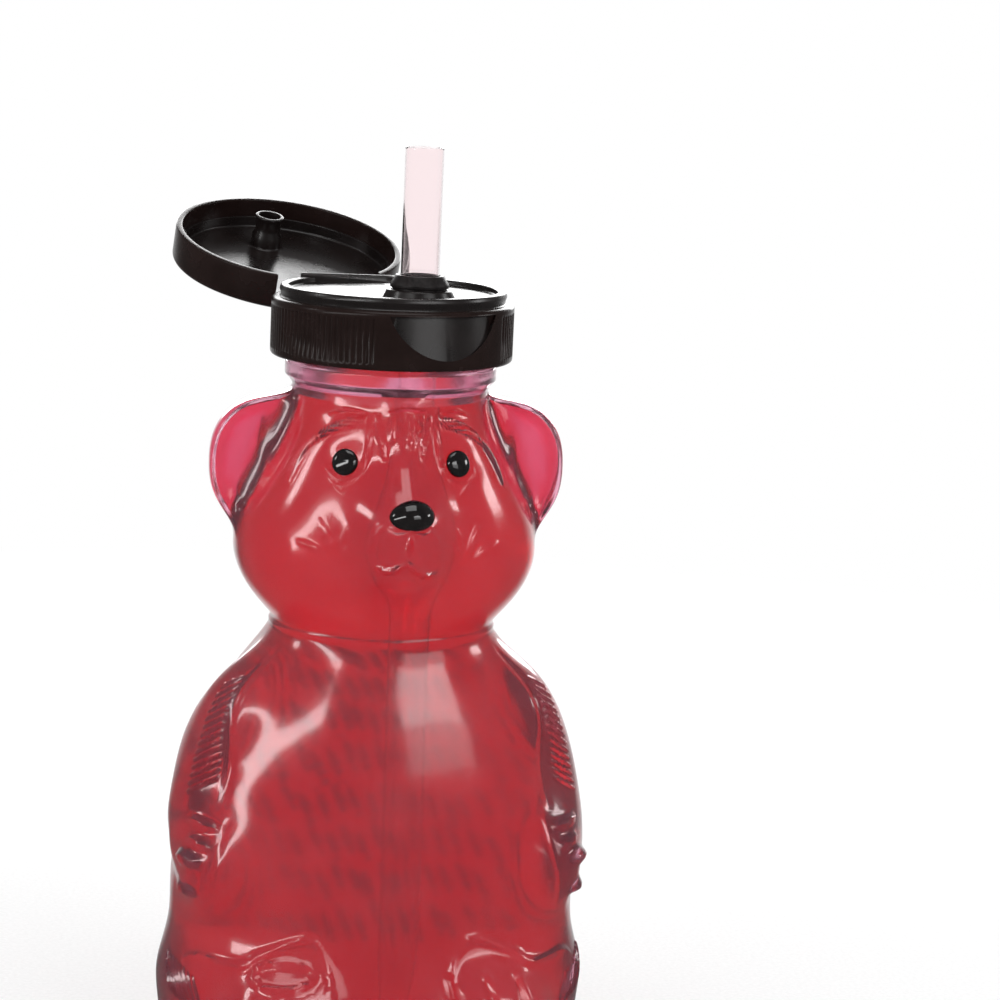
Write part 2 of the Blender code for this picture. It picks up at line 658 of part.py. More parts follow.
def make_straw(clear):
    profile = [
        (STRAW_RADIUS, STRAW_TOP),
        (STRAW_RADIUS, STRAW_LOW),
        (STRAW_BORE, STRAW_LOW),
        (STRAW_BORE, STRAW_TOP),
    ]
    turned("straw", profile, clear, SMALL_STEPS).location = spout_place()


def add_leaf(lid):
    """The hinge leaf that hangs from the plate down to the bead, and the bridge that carries it."""
    half = HINGE_WIDTH / 2
    near, far = HINGE_REACH - HINGE_LEAF / 2, HINGE_REACH + HINGE_LEAF / 2
    top = LID_HIGH - LID_EDGE_ROUND
    leaf = box((-half, near, HINGE_HEIGHT + HINGE_BEAD_RADIUS + REST_GAP), (half, far, top))
    bridge = box((-half, LID_BORE, top - LID_PLATE), (half, HINGE_REACH, top))
    boolean(lid, "UNION", add_tool("hinge_leaf", leaf, lid))
    boolean(lid, "UNION", add_tool("hinge_bridge", bridge, lid))


def add_post(lid):
    """The hollow post that plugs the straw when the lid is shut."""
    tip = POST_RADIUS - POST_TAPER
    low = PLATE_LOW - POST_LENGTH
    post = cylinder(tip, POST_LENGTH + BURIED, POST_RADIUS)
    hollow = cylinder(tip - POST_WALL, POST_LENGTH - POST_FLOOR + REST_GAP)
    boolean(lid, "UNION", add_tool("post", post, lid, (0, -SPOUT_OFFSET, low)))
    boolean(lid, "DIFFERENCE", add_tool("post_bore", hollow, lid, (0, -SPOUT_OFFSET, low - REST_GAP)))


def make_lid(black):
    """The lid in the cap's frame as if shut, swung open by the empty that stands on the hinge axis."""
    hinge = bpy.data.objects.new("lid_hinge_axis", None)
    CUP.objects.link(hinge)
    across, back = -HINGE_REACH * math.sin(CAP_TURN), HINGE_REACH * math.cos(CAP_TURN)
    hinge.location = (across, back, LIP_Z + HINGE_HEIGHT)
    hinge.rotation_euler = (-LID_OPEN, 0, CAP_TURN)
    profile = [(0, LID_HIGH)] + rounded_edge(CAP_RADIUS, LID_HIGH, LID_EDGE_ROUND)
    profile += [(CAP_RADIUS, LID_LOW), (LID_BORE, LID_LOW), (LID_BORE, PLATE_LOW), (0, PLATE_LOW)]
    lid = turned("flip_lid", profile, black)
    lid.parent = hinge
    lid.location = (0, -HINGE_REACH, -HINGE_HEIGHT)
    half = LID_CUTAWAY / 2
    cutaway = box((-half, CAP_RADIUS / 2, LID_LOW - REST_GAP), (half, 2 * CAP_RADIUS, PLATE_LOW))
    boolean(lid, "DIFFERENCE", add_tool("skirt_cutaway", cutaway, lid))
    add_leaf(lid)
    add_post(lid)
    weld_slivers(lid)


def material(name, colour, roughness, transmission=0.0):
    """A Principled material of one colour."""
    made = bpy.data.materials.new(name)
    made.use_nodes = True
    shader = made.node_tree.nodes["Principled BSDF"]
    shader.inputs["Base Color"].default_value = (*colour, 1)
    shader.inputs["Metallic"].default_value = 0.0
    shader.inputs["Roughness"].default_value = roughness
    shader.inputs["Transmission Weight"].default_value = transmission
    return made


def main():
    soft_plastic = material("natural squeeze plastic", (0.78, 0.42, 0.46), 0.28, 0.6)
    black_plastic = material("black gloss plastic", (0.012, 0.010, 0.010), 0.22)
    make_bottle(soft_plastic)
    make_face(material("black gloss paint", (0.006, 0.005, 0.005), 0.12))
    make_liner(material("white foam", (0.85, 0.85, 0.83), 0.8))
    make_cap(black_plastic)
    make_seal(material("black soft rubber", (0.012, 0.011, 0.011), 0.35))
    make_lid(black_plastic)
    make_straw(material("clear straw plastic", (0.95, 0.93, 0.93), 0.08, 0.9))


main()
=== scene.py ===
# %% [markdown]
# # Dressing a honey bear straw cup
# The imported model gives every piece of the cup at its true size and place, with its joints. Here each piece
# gets the fine shape and the finish of the real one: soft milky plastic full of red drink, black glossy
# closure parts, a clear straw and enamel eyes. We start from the frame, because everything is fitted to it.

# %% Load the frame
import json
import math

import bmesh
import bpy
import numpy as np
from mathutils import Matrix, Vector
from mathutils.bvhtree import BVHTree
from mathutils.kdtree import KDTree

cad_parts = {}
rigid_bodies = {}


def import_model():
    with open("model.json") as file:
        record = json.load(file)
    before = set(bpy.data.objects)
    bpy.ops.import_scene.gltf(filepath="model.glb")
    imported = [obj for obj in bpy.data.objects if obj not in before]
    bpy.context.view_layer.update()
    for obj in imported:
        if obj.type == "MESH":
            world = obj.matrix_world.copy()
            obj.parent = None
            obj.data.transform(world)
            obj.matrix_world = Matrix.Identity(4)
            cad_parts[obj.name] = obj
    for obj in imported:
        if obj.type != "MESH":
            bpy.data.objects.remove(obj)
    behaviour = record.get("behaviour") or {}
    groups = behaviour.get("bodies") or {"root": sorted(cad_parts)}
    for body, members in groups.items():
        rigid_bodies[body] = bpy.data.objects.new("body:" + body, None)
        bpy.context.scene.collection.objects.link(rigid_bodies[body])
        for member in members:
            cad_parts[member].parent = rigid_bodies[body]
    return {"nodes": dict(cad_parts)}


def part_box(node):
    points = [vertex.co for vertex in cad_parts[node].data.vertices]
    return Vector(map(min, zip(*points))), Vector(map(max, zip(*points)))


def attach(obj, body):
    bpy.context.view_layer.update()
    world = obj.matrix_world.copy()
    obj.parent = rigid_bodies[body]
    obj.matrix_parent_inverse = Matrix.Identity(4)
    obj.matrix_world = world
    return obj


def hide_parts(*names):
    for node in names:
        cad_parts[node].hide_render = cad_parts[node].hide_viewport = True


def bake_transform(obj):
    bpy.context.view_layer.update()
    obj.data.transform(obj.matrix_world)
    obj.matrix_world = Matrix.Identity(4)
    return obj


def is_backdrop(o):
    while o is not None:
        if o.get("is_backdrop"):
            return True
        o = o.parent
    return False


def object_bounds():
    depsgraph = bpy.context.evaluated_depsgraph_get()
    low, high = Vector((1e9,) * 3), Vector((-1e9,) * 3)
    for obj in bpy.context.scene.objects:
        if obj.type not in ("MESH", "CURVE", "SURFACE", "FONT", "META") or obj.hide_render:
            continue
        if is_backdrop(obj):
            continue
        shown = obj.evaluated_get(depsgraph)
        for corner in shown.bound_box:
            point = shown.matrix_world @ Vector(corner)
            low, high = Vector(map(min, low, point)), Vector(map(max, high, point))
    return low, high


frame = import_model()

cad_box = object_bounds()
print("pieces in the frame:", ", ".join(sorted(frame["nodes"])))

# %% [markdown]
# ## Sizes that several pieces share
# A closure only works when its pieces agree, so the shared sizes are written once. Heights with LIP in front
# are measured up from the bottle's lip, the edge that the cap screws down on. The frame tells us where it is.

# %% Shared sizes
MM = 0.001
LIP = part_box("bear_bottle")[1].z
CROWN = LIP - 12.9 * MM
WAIST = CROWN - 40.6 * MM
NECK_RADIUS, NECK_BORE = 17.3 * MM, 15.9 * MM
THREAD_PITCH, THREAD_DEPTH = 4.2333 * MM, 1.3 * MM
THREAD_LOW, THREAD_START = LIP - 5.8 * MM, math.radians(-100)
CAP_RADIUS, CAP_BORE = 20.5 * MM, 19 * MM
CAP_TURN = math.radians(19.5)
SPOUT_OFFSET = 9.2 * MM
SPOUT = (SPOUT_OFFSET * math.sin(CAP_TURN), -SPOUT_OFFSET * math.cos(CAP_TURN))
SHOULDER, RIM_TOP, DECK = LIP + 1.6 * MM, LIP + 3.6 * MM, LIP + 2.6 * MM
HINGE_REACH, HINGE_Z = 21.2 * MM, SHOULDER + 0.4 * MM
LID_OPEN = math.radians(164)
print(f"lip at {LIP / MM:.1f} mm, crown at {CROWN / MM:.1f} mm, waist at {WAIST / MM:.1f} mm")

# %% [markdown]
# ## The camera
# The cup is seen a little from its right and from above, with a long lens. The camera stands half a metre
# off, 10 degrees down, and is rolled a little, because the cup was tilted when it was photographed.

# %% Camera
VIEW_TURN, VIEW_DOWN, VIEW_ROLL = math.radians(-10.3), math.radians(10), math.radians(2.6)
VIEW_DISTANCE, VIEW_HEIGHT, VIEW_ASIDE = 0.480, 0.194, 0.0195
LENS, SENSOR = 102.8, 36
bpy.ops.object.select_all(action="DESELECT")
bpy.ops.object.camera_add()
camera = bpy.context.object
camera.data.lens, camera.data.sensor_width = LENS, SENSOR
camera.data.clip_start = 0.01
turned = Matrix.Rotation(VIEW_TURN, 4, "Z")
stand = turned @ Vector((VIEW_ASIDE, -VIEW_DISTANCE, 0)) + Vector((0, 0, VIEW_HEIGHT))
look = Matrix.Rotation(math.pi / 2 - VIEW_DOWN, 4, "X") @ Matrix.Rotation(VIEW_ROLL, 4, "Z")
camera.matrix_world = Matrix.Translation(stand) @ turned @ look
bpy.context.scene.camera = camera
print(f"camera at {[round(c, 3) for c in camera.location]} with a {LENS:.0f} mm lens")

# %% [markdown]
# ## Small helpers for materials
# Colours are picked as sRGB hex values, as a colour chart gives them, but shaders count in linear light, so
# one function turns them round. The others add a node with its settings, its numbers and its links at once.

# %% Colour and node helpers
def linear(hex_colour):
    """An sRGB colour such as #C83040 as linear red, green, blue and 1."""
    shares = [int(hex_colour[i : i + 2], 16) / 255 for i in (1, 3, 5)]
    return [s / 12.92 if s <= 0.04045 else ((s + 0.055) / 1.055) ** 2.4 for s in shares] + [1]


def feed(tree, node, inputs):
    """Gives a node's inputs numbers or hex colours, or links a socket or a node's first output to them."""
    for name, value in inputs.items():
        if isinstance(value, bpy.types.Node):
            value = value.outputs[0]
        if isinstance(value, bpy.types.NodeSocket):
            tree.links.new(value, node.inputs[name])
        else:
            node.inputs[name].default_value = linear(value) if isinstance(value, str) else value


def add_node(tree, kind, inputs=None, stops=None, **settings):
    """Adds one node with its settings, its inputs and, on a colour ramp, the hex colours of its stops."""
    made = tree.nodes.new("ShaderNode" + kind)
    for name, value in settings.items():
        setattr(made, name, value)
    feed(tree, made, inputs or {})
    if stops:
        for stop, (spot, colour) in zip(made.color_ramp.elements, stops.items()):
            stop.position, stop.color = spot, linear(colour)
    return made


def new_material(name, inputs):
    """A material with its Principled shader's plain inputs set, its node tree, shader and coordinates."""
    made = bpy.data.materials.new(name)
    made.use_nodes = True
    tree = made.node_tree
    shader = tree.nodes["Principled BSDF"]
    feed(tree, shader, inputs)
    place = add_node(tree, "TexCoord").outputs["Object"]
    return made, tree, shader, place


print("red drink in linear light:", [round(c, 3) for c in linear("#C4203A")])

# %% [markdown]
# ## Natural LDPE, blow-moulded
# Squeeze bottles are low-density polyethylene. Tiny crystals in it scatter light, so it looks milky, and the
# drink tints that milk pink. We let most light through a blurred surface, cloud its tint a little, and lay a
# glossier coat on it. Blow moulding leaves slow waves, which bend body and coat alike, and we give the body a
# fine grain as well. Where the drink wets the wall, plastic meets water, not air, so there light bends and
# glints much less: that side gets the ratio of both refractive indices.

# %% Bottle plastic
IOR_POLYETHYLENE, IOR_WATER = 1.51, 1.33


def make_ldpe(name, ior, gloss):
    made, tree, shader, place = new_material(
        name, {"IOR": ior, "Transmission Weight": 0.95, "Coat Weight": gloss, "Coat Roughness": 0.09}
    )
    cloud_size, wave_size, wave_height = 14 * MM, 5 * MM, 0.05 * MM
    grain_size, grain_height = 0.45 * MM, 0.004 * MM
    clouds = add_node(tree, "TexNoise", {"Vector": place, "Scale": 1 / cloud_size, "Detail": 3})
    tint = add_node(tree, "ValToRGB", {"Fac": clouds}, stops={0.35: "#F0AEC6", 0.65: "#F7C4D8"})
    blur = add_node(
        tree, "MapRange", {"Value": clouds, "From Min": 0.3, "From Max": 0.7, "To Min": 0.13, "To Max": 0.2}
    )
    waves = add_node(tree, "TexNoise", {"Vector": place, "Scale": 1 / wave_size, "Detail": 2})
    waved = add_node(tree, "Bump", {"Height": waves, "Strength": 0.6, "Distance": wave_height})
    grain = add_node(tree, "TexNoise", {"Vector": place, "Scale": 1 / grain_size, "Detail": 1})
    grained = add_node(
        tree, "Bump", {"Height": grain, "Normal": waved, "Strength": 0.6, "Distance": grain_height}
    )
    feed(tree, shader, {"Base Color": tint, "Roughness": blur, "Normal": grained, "Coat Normal": waved})
    return made


LDPE = make_ldpe("natural_ldpe", IOR_POLYETHYLENE, gloss=0.6)
WETTED_LDPE = make_ldpe("natural_ldpe_wetted", IOR_POLYETHYLENE / IOR_WATER, gloss=0)
print("bottle:", LDPE.name, "and", WETTED_LDPE.name)

# %% [markdown]
# ## The drink
# A red fruit drink is clear water with a dye. Its surface is almost colourless, and the colour comes from
# how much of it the light crosses, so it is a volume that absorbs green and blue: thin ears stay pink while
# the belly goes deep red. Absorption has no grain and costs next to nothing to render. The wall's wetted side
# does all the bending already, so the drink's own surface bends nothing.

# %% Drink
dye_colour, dye_strength = "#FD2B82", 600
DRINK, tree, shader, place = new_material(
    "red_fruit_drink", {"Base Color": "#FFFFFF", "Roughness": 0, "IOR": 1, "Transmission Weight": 1}
)
dye = add_node(tree, "VolumeAbsorption", {"Color": dye_colour, "Density": dye_strength})
feed(tree, tree.nodes["Material Output"], {"Volume": dye})
print("drink:", DRINK.name, "dyed", dye_colour)

# %% [markdown]
# ## Black polypropylene, injection moulded
# Flip-top closures are polypropylene with carbon black. A polished steel mould leaves the deck and the lid's
# face flat, dark and glossy, and a spark-eroded one leaves the skirt satin. The black is warm, not blue. All
# opaque finishes here are one function: spots of two tints, a roughness that drifts with them, and dents.

# %% Closure plastic
IOR_POLYPROPYLENE = 1.49


def make_opaque(name, inputs, spots, tints, rough=None, dents=None, pattern="TexNoise"):
    """Spots have a size and a detail, and dents also a strength and a depth."""
    made, tree, shader, place = new_material(name, inputs)
    size, detail = spots
    spotted = add_node(tree, pattern, {"Vector": place, "Scale": 1 / size, "Detail": detail})
    looks = {"Base Color": add_node(tree, "ValToRGB", {"Fac": spotted}, stops=tints)}
    if rough:
        span = {"From Min": 0.3, "From Max": 0.7, "To Min": rough[0], "To Max": rough[1]}
        looks["Roughness"] = add_node(tree, "MapRange", {"Value": spotted, **span})
    if dents:
        size, detail, strength, depth = dents
        dented = add_node(tree, pattern, {"Vector": place, "Scale": 1 / size, "Detail": detail})
        looks["Normal"] = add_node(tree, "Bump", {"Height": dented, "Strength": strength, "Distance": depth})
    feed(tree, shader, looks)
    return made


def make_black_pp(name, mirror, tints, rough, peel):
    flow_size, peel_size = 6 * MM, 0.7 * MM
    shine = {"IOR": IOR_POLYPROPYLENE, "Specular IOR Level": mirror}
    return make_opaque(name, shine, (flow_size, 4), tints, rough, (peel_size, 1, 0.5, peel))


warm = {0.3: "#1C1210", 0.7: "#261A18"}
SATIN_BLACK = make_black_pp("black_pp_satin", 0.22, warm, (0.2, 0.3), 0.02 * MM)
deep = {0.3: "#120C0B", 0.7: "#1B1312"}
POLISHED_BLACK = make_black_pp("black_pp_polished", 0.65, deep, (0.24, 0.32), 0.004 * MM)
print("closure:", SATIN_BLACK.name, "and", POLISHED_BLACK.name)

# %% [markdown]
# ## Enamel, rubber, straw and foam
# The eyes and nose are drops of black enamel that flowed level before they dried, so they are the glossiest
# black here. The straw seal is soft thermoplastic rubber, which is dull and picks up dust. The straw is clear
# polypropylene, extruded, with faint lines along it. The liner is white foam with open cells.

# %% The other finishes
ENAMEL = make_opaque(
    "black_enamel",
    {"Roughness": 0.1, "Coat Weight": 0.6, "Coat Roughness": 0.04, "IOR": 1.5},
    spots=(1.2 * MM, 2),
    tints={0.3: "#0B0808", 0.7: "#171212"},
    dents=(1.2 * MM, 2, 0.4, 0.03 * MM),
)
RUBBER = make_opaque(
    "black_soft_rubber",
    {"IOR": 1.5, "Specular IOR Level": 0.4},
    spots=(0.5 * MM, 4),
    tints={0.35: "#120E0E", 0.7: "#241D1D"},
    rough=(0.3, 0.5),
)
FOAM = make_opaque(
    "white_pe_foam",
    {"Roughness": 0.8},
    spots=(0.4 * MM, 0),
    tints={0: "#D8D6D2", 0.6: "#F4F2EE"},
    dents=(0.4 * MM, 0, 0.6, 0.1 * MM),
    pattern="TexVoronoi",
)
CLEAR, tree, shader, place = new_material(
    "clear_extruded_pp",
    {"Base Color": "#FFF6F7", "Roughness": 0.04, "IOR": IOR_POLYPROPYLENE, "Transmission Weight": 1},
)
line_width, line_height = 0.6 * MM, 0.01 * MM
along = add_node(tree, "Mapping", {"Vector": place, "Scale": (1 / line_width, 1 / line_width, 2)})
lines = add_node(tree, "TexNoise", {"Vector": along, "Scale": 1, "Detail": 1})
lined = add_node(tree, "Bump", {"Height": lines, "Strength": 0.3, "Distance": line_height})
feed(tree, shader, {"Normal": lined})
print("others:", ", ".join(made.name for made in (ENAMEL, RUBBER, FOAM, CLEAR)))

# %% [markdown]
# ## Working by hand, in code
# Blender's operators act on whatever is selected, as they do under the mouse. These helpers take care of
# that: one leaves a single object selected, one opens it for editing, one picks vertices, edges or faces by
# where they are, and one adds a modifier and applies it.

# %% Modelling helpers
MERGE = 0.002 * MM


def only(obj):
    """Leaves one object selected and active."""
    bpy.ops.object.select_all(action="DESELECT")
    obj.select_set(True)
    bpy.context.view_layer.objects.active = obj


def edit(obj, everything=False):
    """Opens the object for editing, with everything picked or nothing."""
    only(obj)
    bpy.ops.object.mode_set(mode="EDIT")
    bpy.ops.mesh.select_mode(type="VERT")
    bpy.ops.mesh.select_all(action="SELECT" if everything else "DESELECT")


def done():
    bpy.ops.object.mode_set(mode="OBJECT")


def pick(obj, kind, test):
    """In edit mode, picks the vertices, edges or faces that pass the test, and says how many."""
    bpy.ops.mesh.select_mode(type=kind)
    bpy.ops.mesh.select_all(action="DESELECT")
    shape = bmesh.from_edit_mesh(obj.data)
    items = {"VERT": shape.verts, "EDGE": shape.edges, "FACE": shape.faces}[kind]
    found = [item for item in items if test(item)]
    for item in found:
        item.select_set(True)
    shape.select_flush_mode()
    bmesh.update_edit_mesh(obj.data)
    return len(found)


def modify(obj, kind, **settings):
    """Adds a modifier and applies it."""
    only(obj)
    made = obj.modifiers.new(kind, kind)
    for name, value in settings.items():
        setattr(made, name, value)
    bpy.ops.object.modifier_apply(modifier=made.name)


print(f"points closer than {MERGE / MM:.3f} mm are merged")

# %% [markdown]
# ## The bear: a smooth skin
# The real bottle is blown into a carved mould, so its forms are soft and run into each other. The frame has
# those forms already, as a coarse loft of flat triangles. We take a merged copy, keep its outer skin, pair
# the triangles into four-sided faces and subdivide it, which gives a soft skin that stays within the cage.
# The wall's inner side is never seen on its own, so one level of subdivision is enough for it.

# %% Outer skin
def copy_of(obj, name):
    only(obj)
    bpy.ops.object.duplicate()
    bpy.context.object.name = bpy.context.object.data.name = name
    return bpy.context.object


skin = bpy.data.objects.new("bear_shell", frame["nodes"]["bear_bottle"].data.copy())
bpy.context.scene.collection.objects.link(skin)
skin.data.materials.clear()
edit(skin, everything=True)
bpy.ops.mesh.remove_doubles(threshold=MERGE)
pick(skin, "VERT", lambda v: v.co.z > CROWN + 0.1 * MM)
bpy.ops.mesh.delete(type="VERT")
ear_tip = max(v.co.x for v in bmesh.from_edit_mesh(skin.data).verts)
pick(skin, "VERT", lambda v: v.co.x > ear_tip - MERGE)
bpy.ops.mesh.select_linked()
bpy.ops.mesh.select_all(action="INVERT")
bpy.ops.mesh.delete(type="VERT")
pick(skin, "FACE", lambda f: all(v.co.z < MERGE for v in f.verts))
bpy.ops.mesh.delete(type="FACE")
bpy.ops.mesh.select_all(action="SELECT")
bpy.ops.mesh.customdata_custom_splitnormals_clear()
bpy.ops.mesh.mark_sharp(clear=True)
bpy.ops.mesh.tris_convert_to_quads(face_threshold=math.pi, shape_threshold=math.pi)
done()
corners = [len(face.vertices) for face in skin.data.polygons]
print(f"cage: {corners.count(4)} four-sided and {corners.count(3)} three-sided faces")
inner = copy_of(skin, "inner_wall")
modify(skin, "SUBSURF", levels=2, render_levels=2)
modify(inner, "SUBSURF", levels=1, render_levels=1)
print(f"smooth skin: {len(skin.data.polygons)} faces outside, {len(inner.data.polygons)} inside")

# %% [markdown]
# ## Base, wall and drink
# A blow-moulded bottle stands on a rim, because its base is pushed up in the middle: we draw the bottom ring
# inwards and up. The wall is even, 0.9 mm thick, so its inner side is the same skin, moved in along its
# normals, without the fine relief, which hardly shows inside a real bottle. The drink is a copy of the inner
# side, a hair smaller, cut level and given the curved edge that wets the wall.

# %% Base, inner wall and drink
WALL, WET_GAP = 0.9 * MM, 0.05 * MM
FILL = CROWN - 1.5 * MM
MENISCUS = 0.5 * MM
BASE_RINGS = ((0.93, 0), (0.95, 0.2 * MM), (0.95, 0.3 * MM), (0.5, 0.2 * MM), (0.3, 0))


def face_outwards():
    """In edit mode, turns the front of every face outwards."""
    bpy.ops.mesh.select_all(action="SELECT")
    bpy.ops.mesh.normals_make_consistent(inside=False)


def push_up_base(obj):
    """Draws the bottom ring in to a standing rim and a shallow dome."""
    edit(obj)
    pick(obj, "EDGE", lambda e: e.is_boundary and e.verts[0].co.z < 1 * MM)
    for size, rise in BASE_RINGS:
        bpy.ops.mesh.extrude_edges_move(TRANSFORM_OT_translate={"value": (0, 0, rise)})
        bpy.ops.transform.resize(value=(size, size, 1), center_override=(0, 0, 0))
    bpy.ops.mesh.edge_face_add()
    done()


def move_in(obj, distance):
    """Moves every point in along its normal."""
    edit(obj)
    face_outwards()
    bpy.ops.transform.shrink_fatten(value=-distance)
    done()


push_up_base(skin)
push_up_base(inner)
move_in(inner, WALL)
drink = copy_of(inner, "drink")
move_in(drink, WET_GAP)
edit(drink, everything=True)
bpy.ops.mesh.bisect(plane_co=(0, 0, FILL), plane_no=(0, 0, 1), clear_outer=True, use_fill=True)
pick(drink, "FACE", lambda f: f.calc_center_median().z > FILL - MERGE)
bpy.ops.mesh.inset(thickness=2 * MENISCUS)
bpy.ops.transform.translate(value=(0, 0, -MENISCUS))
done()
print(f"wall {WALL / MM:.1f} mm thick, drink filled to {FILL / MM:.1f} mm, {len(drink.data.polygons)} faces")

# %% [markdown]
# ## Carving the bear
# A toolmaker cuts the fur, mouth and fingers into the mould with a few round cutters, one stroke at a time.
# We do the same: a stroke is a path on the skin with a half width and a height, or a depth where it is
# negative. First we only write the strokes down, in degrees round the bear from its nose and in millimetres
# above its base, so that they keep their real sizes.

# %% Strokes on the skin
strokes, OUTSIDE = [], 0.1


def surface_of(obj):
    return BVHTree.FromPolygons([v.co for v in obj.data.vertices], [p.vertices for p in obj.data.polygons])


def seen_from_outside(surface, angle, height):
    """Where a line from outside meets the surface, at an angle from the nose and a height, and its slope."""
    turn_by = math.radians(angle)
    inwards = Vector((-math.sin(turn_by), math.cos(turn_by), 0))
    return surface.ray_cast(Vector((0, 0, height)) - OUTSIDE * inwards, inwards)[:2]


smooth_skin = surface_of(skin)


def drawn(path, steps):
    """A smooth line through (angle, height) points, laid on the skin."""
    knots = np.array([path[0], *path, path[-1]], float)
    line = []
    for a, b, c, d in zip(knots, knots[1:], knots[2:], knots[3:]):
        for t in np.linspace(0, 1, steps, endpoint=False):
            bend = (2 * a - 5 * b + 4 * c - d) * t * t + (3 * b - a - 3 * c + d) * t**3
            line.append((2 * b + (c - a) * t + bend) / 2)
    return np.array([seen_from_outside(smooth_skin, a, h * MM)[0] for a, h in line + [knots[-1]]])


def stroke(path, half_width, height, taper=0, steps=6):
    """Writes down a rounded ridge along the path, in millimetres, thinner towards its ends by the taper."""
    strokes.append((drawn(path, steps), half_width * MM, height * MM, taper))


def both_sides(path, *sizes, **more):
    for side in (1, -1):
        stroke([(side * angle, height) for angle, height in path], *sizes, **more)


chin = seen_from_outside(smooth_skin, 0, WAIST + 14 * MM)[0]
print(f"the chin lies {-chin.y / MM:.1f} mm in front of the bear's axis")

# %% [markdown]
# ## The face
# The muzzle has a curled lip, two folds below the nose and a wide mouth. A fold lies under each eye, the
# brow is a row of short upright hairs that ends in a smooth bulge, and ridges run down the forehead.

# %% Strokes of the face
EYE_TURN, EYE_Z, NOSE_TURN = 28.6, (WAIST + 29.8 * MM) / MM, 2.2

stroke([(-6.5, 109.6), (-9.8, 108.3), (-11.9, 106.5), (-12.6, 104.4), (-11.4, 102.8)], 0.9, 0.5, 0.4)
stroke([(8.6, 108.4), (11, 106), (12.2, 104.1), (11.4, 102.8)], 0.9, 0.45, 0.4)
stroke([(-7.5, 108.8), (-5.8, 107.9), (-3.5, 107.6), (-1, 107.9), (0.8, 108.6)], 0.55, 0.5, 0.4)
stroke([(0.8, 108.6), (2.8, 107.8), (6.1, 107.6), (8.9, 108.5)], 0.55, 0.5, 0.4)
stroke([(0.8, 107.6), (-0.4, 105.7), (-1.5, 104.1), (-2.7, 102.9)], 0.5, 0.35, 0.4)
stroke([(1.5, 107.5), (2.7, 105.7), (4, 104.2)], 0.5, 0.35, 0.4)
stroke([(1, 107), (1.1, 105.2), (1, 103.6)], 0.6, -0.5, 0.4)
stroke([(-10.6, 102.3), (-7.9, 101.7), (-4.9, 101.8), (-2.3, 102.5), (-0.4, 103.3)], 0.75, 0.75, 0.4)
stroke([(0, 103.3), (2.5, 102.4), (5.5, 101.4), (9.6, 101), (13.8, 102)], 0.8, 0.75, 0.4)
under_mouth = [(-9.8, 100.7), (-5, 100.4), (-0.8, 101.8), (1.2, 101.6), (5, 100), (10.5, 99.5)]
stroke(under_mouth, 0.7, -0.6, 0.5)
stroke([(-5, 98), (1, 97.5), (7, 98)], 1.4, 0.4, 0.6)
stroke([(-0.4, 122), (0.8, 117), (1.8, 113.2)], 3, 0.4, 0.5)
both_sides([(23.3, 107.5), (24.8, 105.3), (24.2, 103)], 0.6, 0.4, 0.6)
both_sides([(20.1, 105.6), (22.6, 104.2), (25.3, 102.8)], 0.5, 0.35, 0.6)
both_sides([(35, 108.3), (31, 105.6), (28, 102.8)], 0.7, 0.45, 0.6)
both_sides([(43.5, 104.6), (36, 103.8), (31.1, 101.9)], 0.7, 0.4, 0.6)
both_sides([(14.6, 125.6), (13.2, 123.7), (11.6, 121.6), (9.3, 118.9)], 0.75, 0.6, 0.4)
both_sides([(16.8, 124.2), (17.2, 121.2), (18.2, 118.7), (19, 116.5)], 0.65, 0.45, 0.5)
for angle in (2.4, 5, 7.6, 10.2):
    stroke([(angle, 125.7), (angle - 0.6, 123.2), (angle - 1.6, 120.4)], 0.5, 0.4, 0.4, steps=4)
stroke([(-5.8, 125.7), (-6.2, 123.7), (-5.5, 121.6)], 0.8, 0.35, 0.5)
stroke([(-7.6, 126.2), (2, 126.7), (13, 126.2)], 0.5, 0.35, 0.5)
both_sides([(43, 125), (34, 126), (22.8, 126)], 0.5, 0.35, 0.5)

under_eye = [(EYE_TURN + 9.4 * math.cos(t), EYE_Z + 3.2 * math.sin(t)) for t in np.linspace(-2.7, -0.2, 6)]
both_sides(under_eye, 0.5, 0.3, 0.8, steps=3)
both_sides([(33.3, 115.2), (30.8, 114), (27.2, 113)], 0.45, 0.35, 0.6)
both_sides([(55.5, 113.8), (54.6, 117.2), (51, 119.8), (46, 121.4)], 1.3, 0.6, 0.4)
BROW = [(20.5, 124.6), (31.4, 123.8), (38.9, 122.8), (46.5, 121.3), (51, 119.6)]
brow_turns, brow_heights = zip(*BROW)
for angle in np.linspace(21, 50, 15):
    height = float(np.interp(angle, brow_turns, brow_heights))
    both_sides([(angle + 1, height - 1.3), (angle - 0.6, height + 1.1)], 0.34, 0.45, 0.5, steps=3)
print(len(strokes), "strokes on the face")

# %% [markdown]
# ## Arms, paws, legs and back
# Slanted hairs edge each arm, four stubby fingers rest on the belly, and the feet have toes or a round pad.
# Rows of longer hairs cover the back, where they also show through the drink from the front.

# %% Strokes of the body
for share in np.linspace(0, 1, 14):
    outer_end = (75 - 2 * share, 77.2 - 17.2 * share)
    inner_end = (67.4 - 2.8 * share, 79.8 - 16.4 * share)
    both_sides([outer_end, inner_end], 0.5, 0.6, 0.4, steps=5)
both_sides([(63.8, 84.5), (64.5, 76), (61.8, 66), (60, 59)], 1.5, -0.5, 0.5)

both_sides([(68, 56.2), (59.5, 55.6)], 1.2, 0.9, 0.3)
both_sides([(65.8, 53.4), (58.6, 52.6)], 1.1, 0.7, 0.3)
both_sides([(68.6, 50), (61.5, 50)], 2.1, 1.3, 0.3)
both_sides([(70, 44.6), (63.5, 44.4)], 1.9, 1.2, 0.3)
both_sides([(57, 57), (55.8, 50), (59.5, 42.5)], 1.2, -0.4, 0.5)

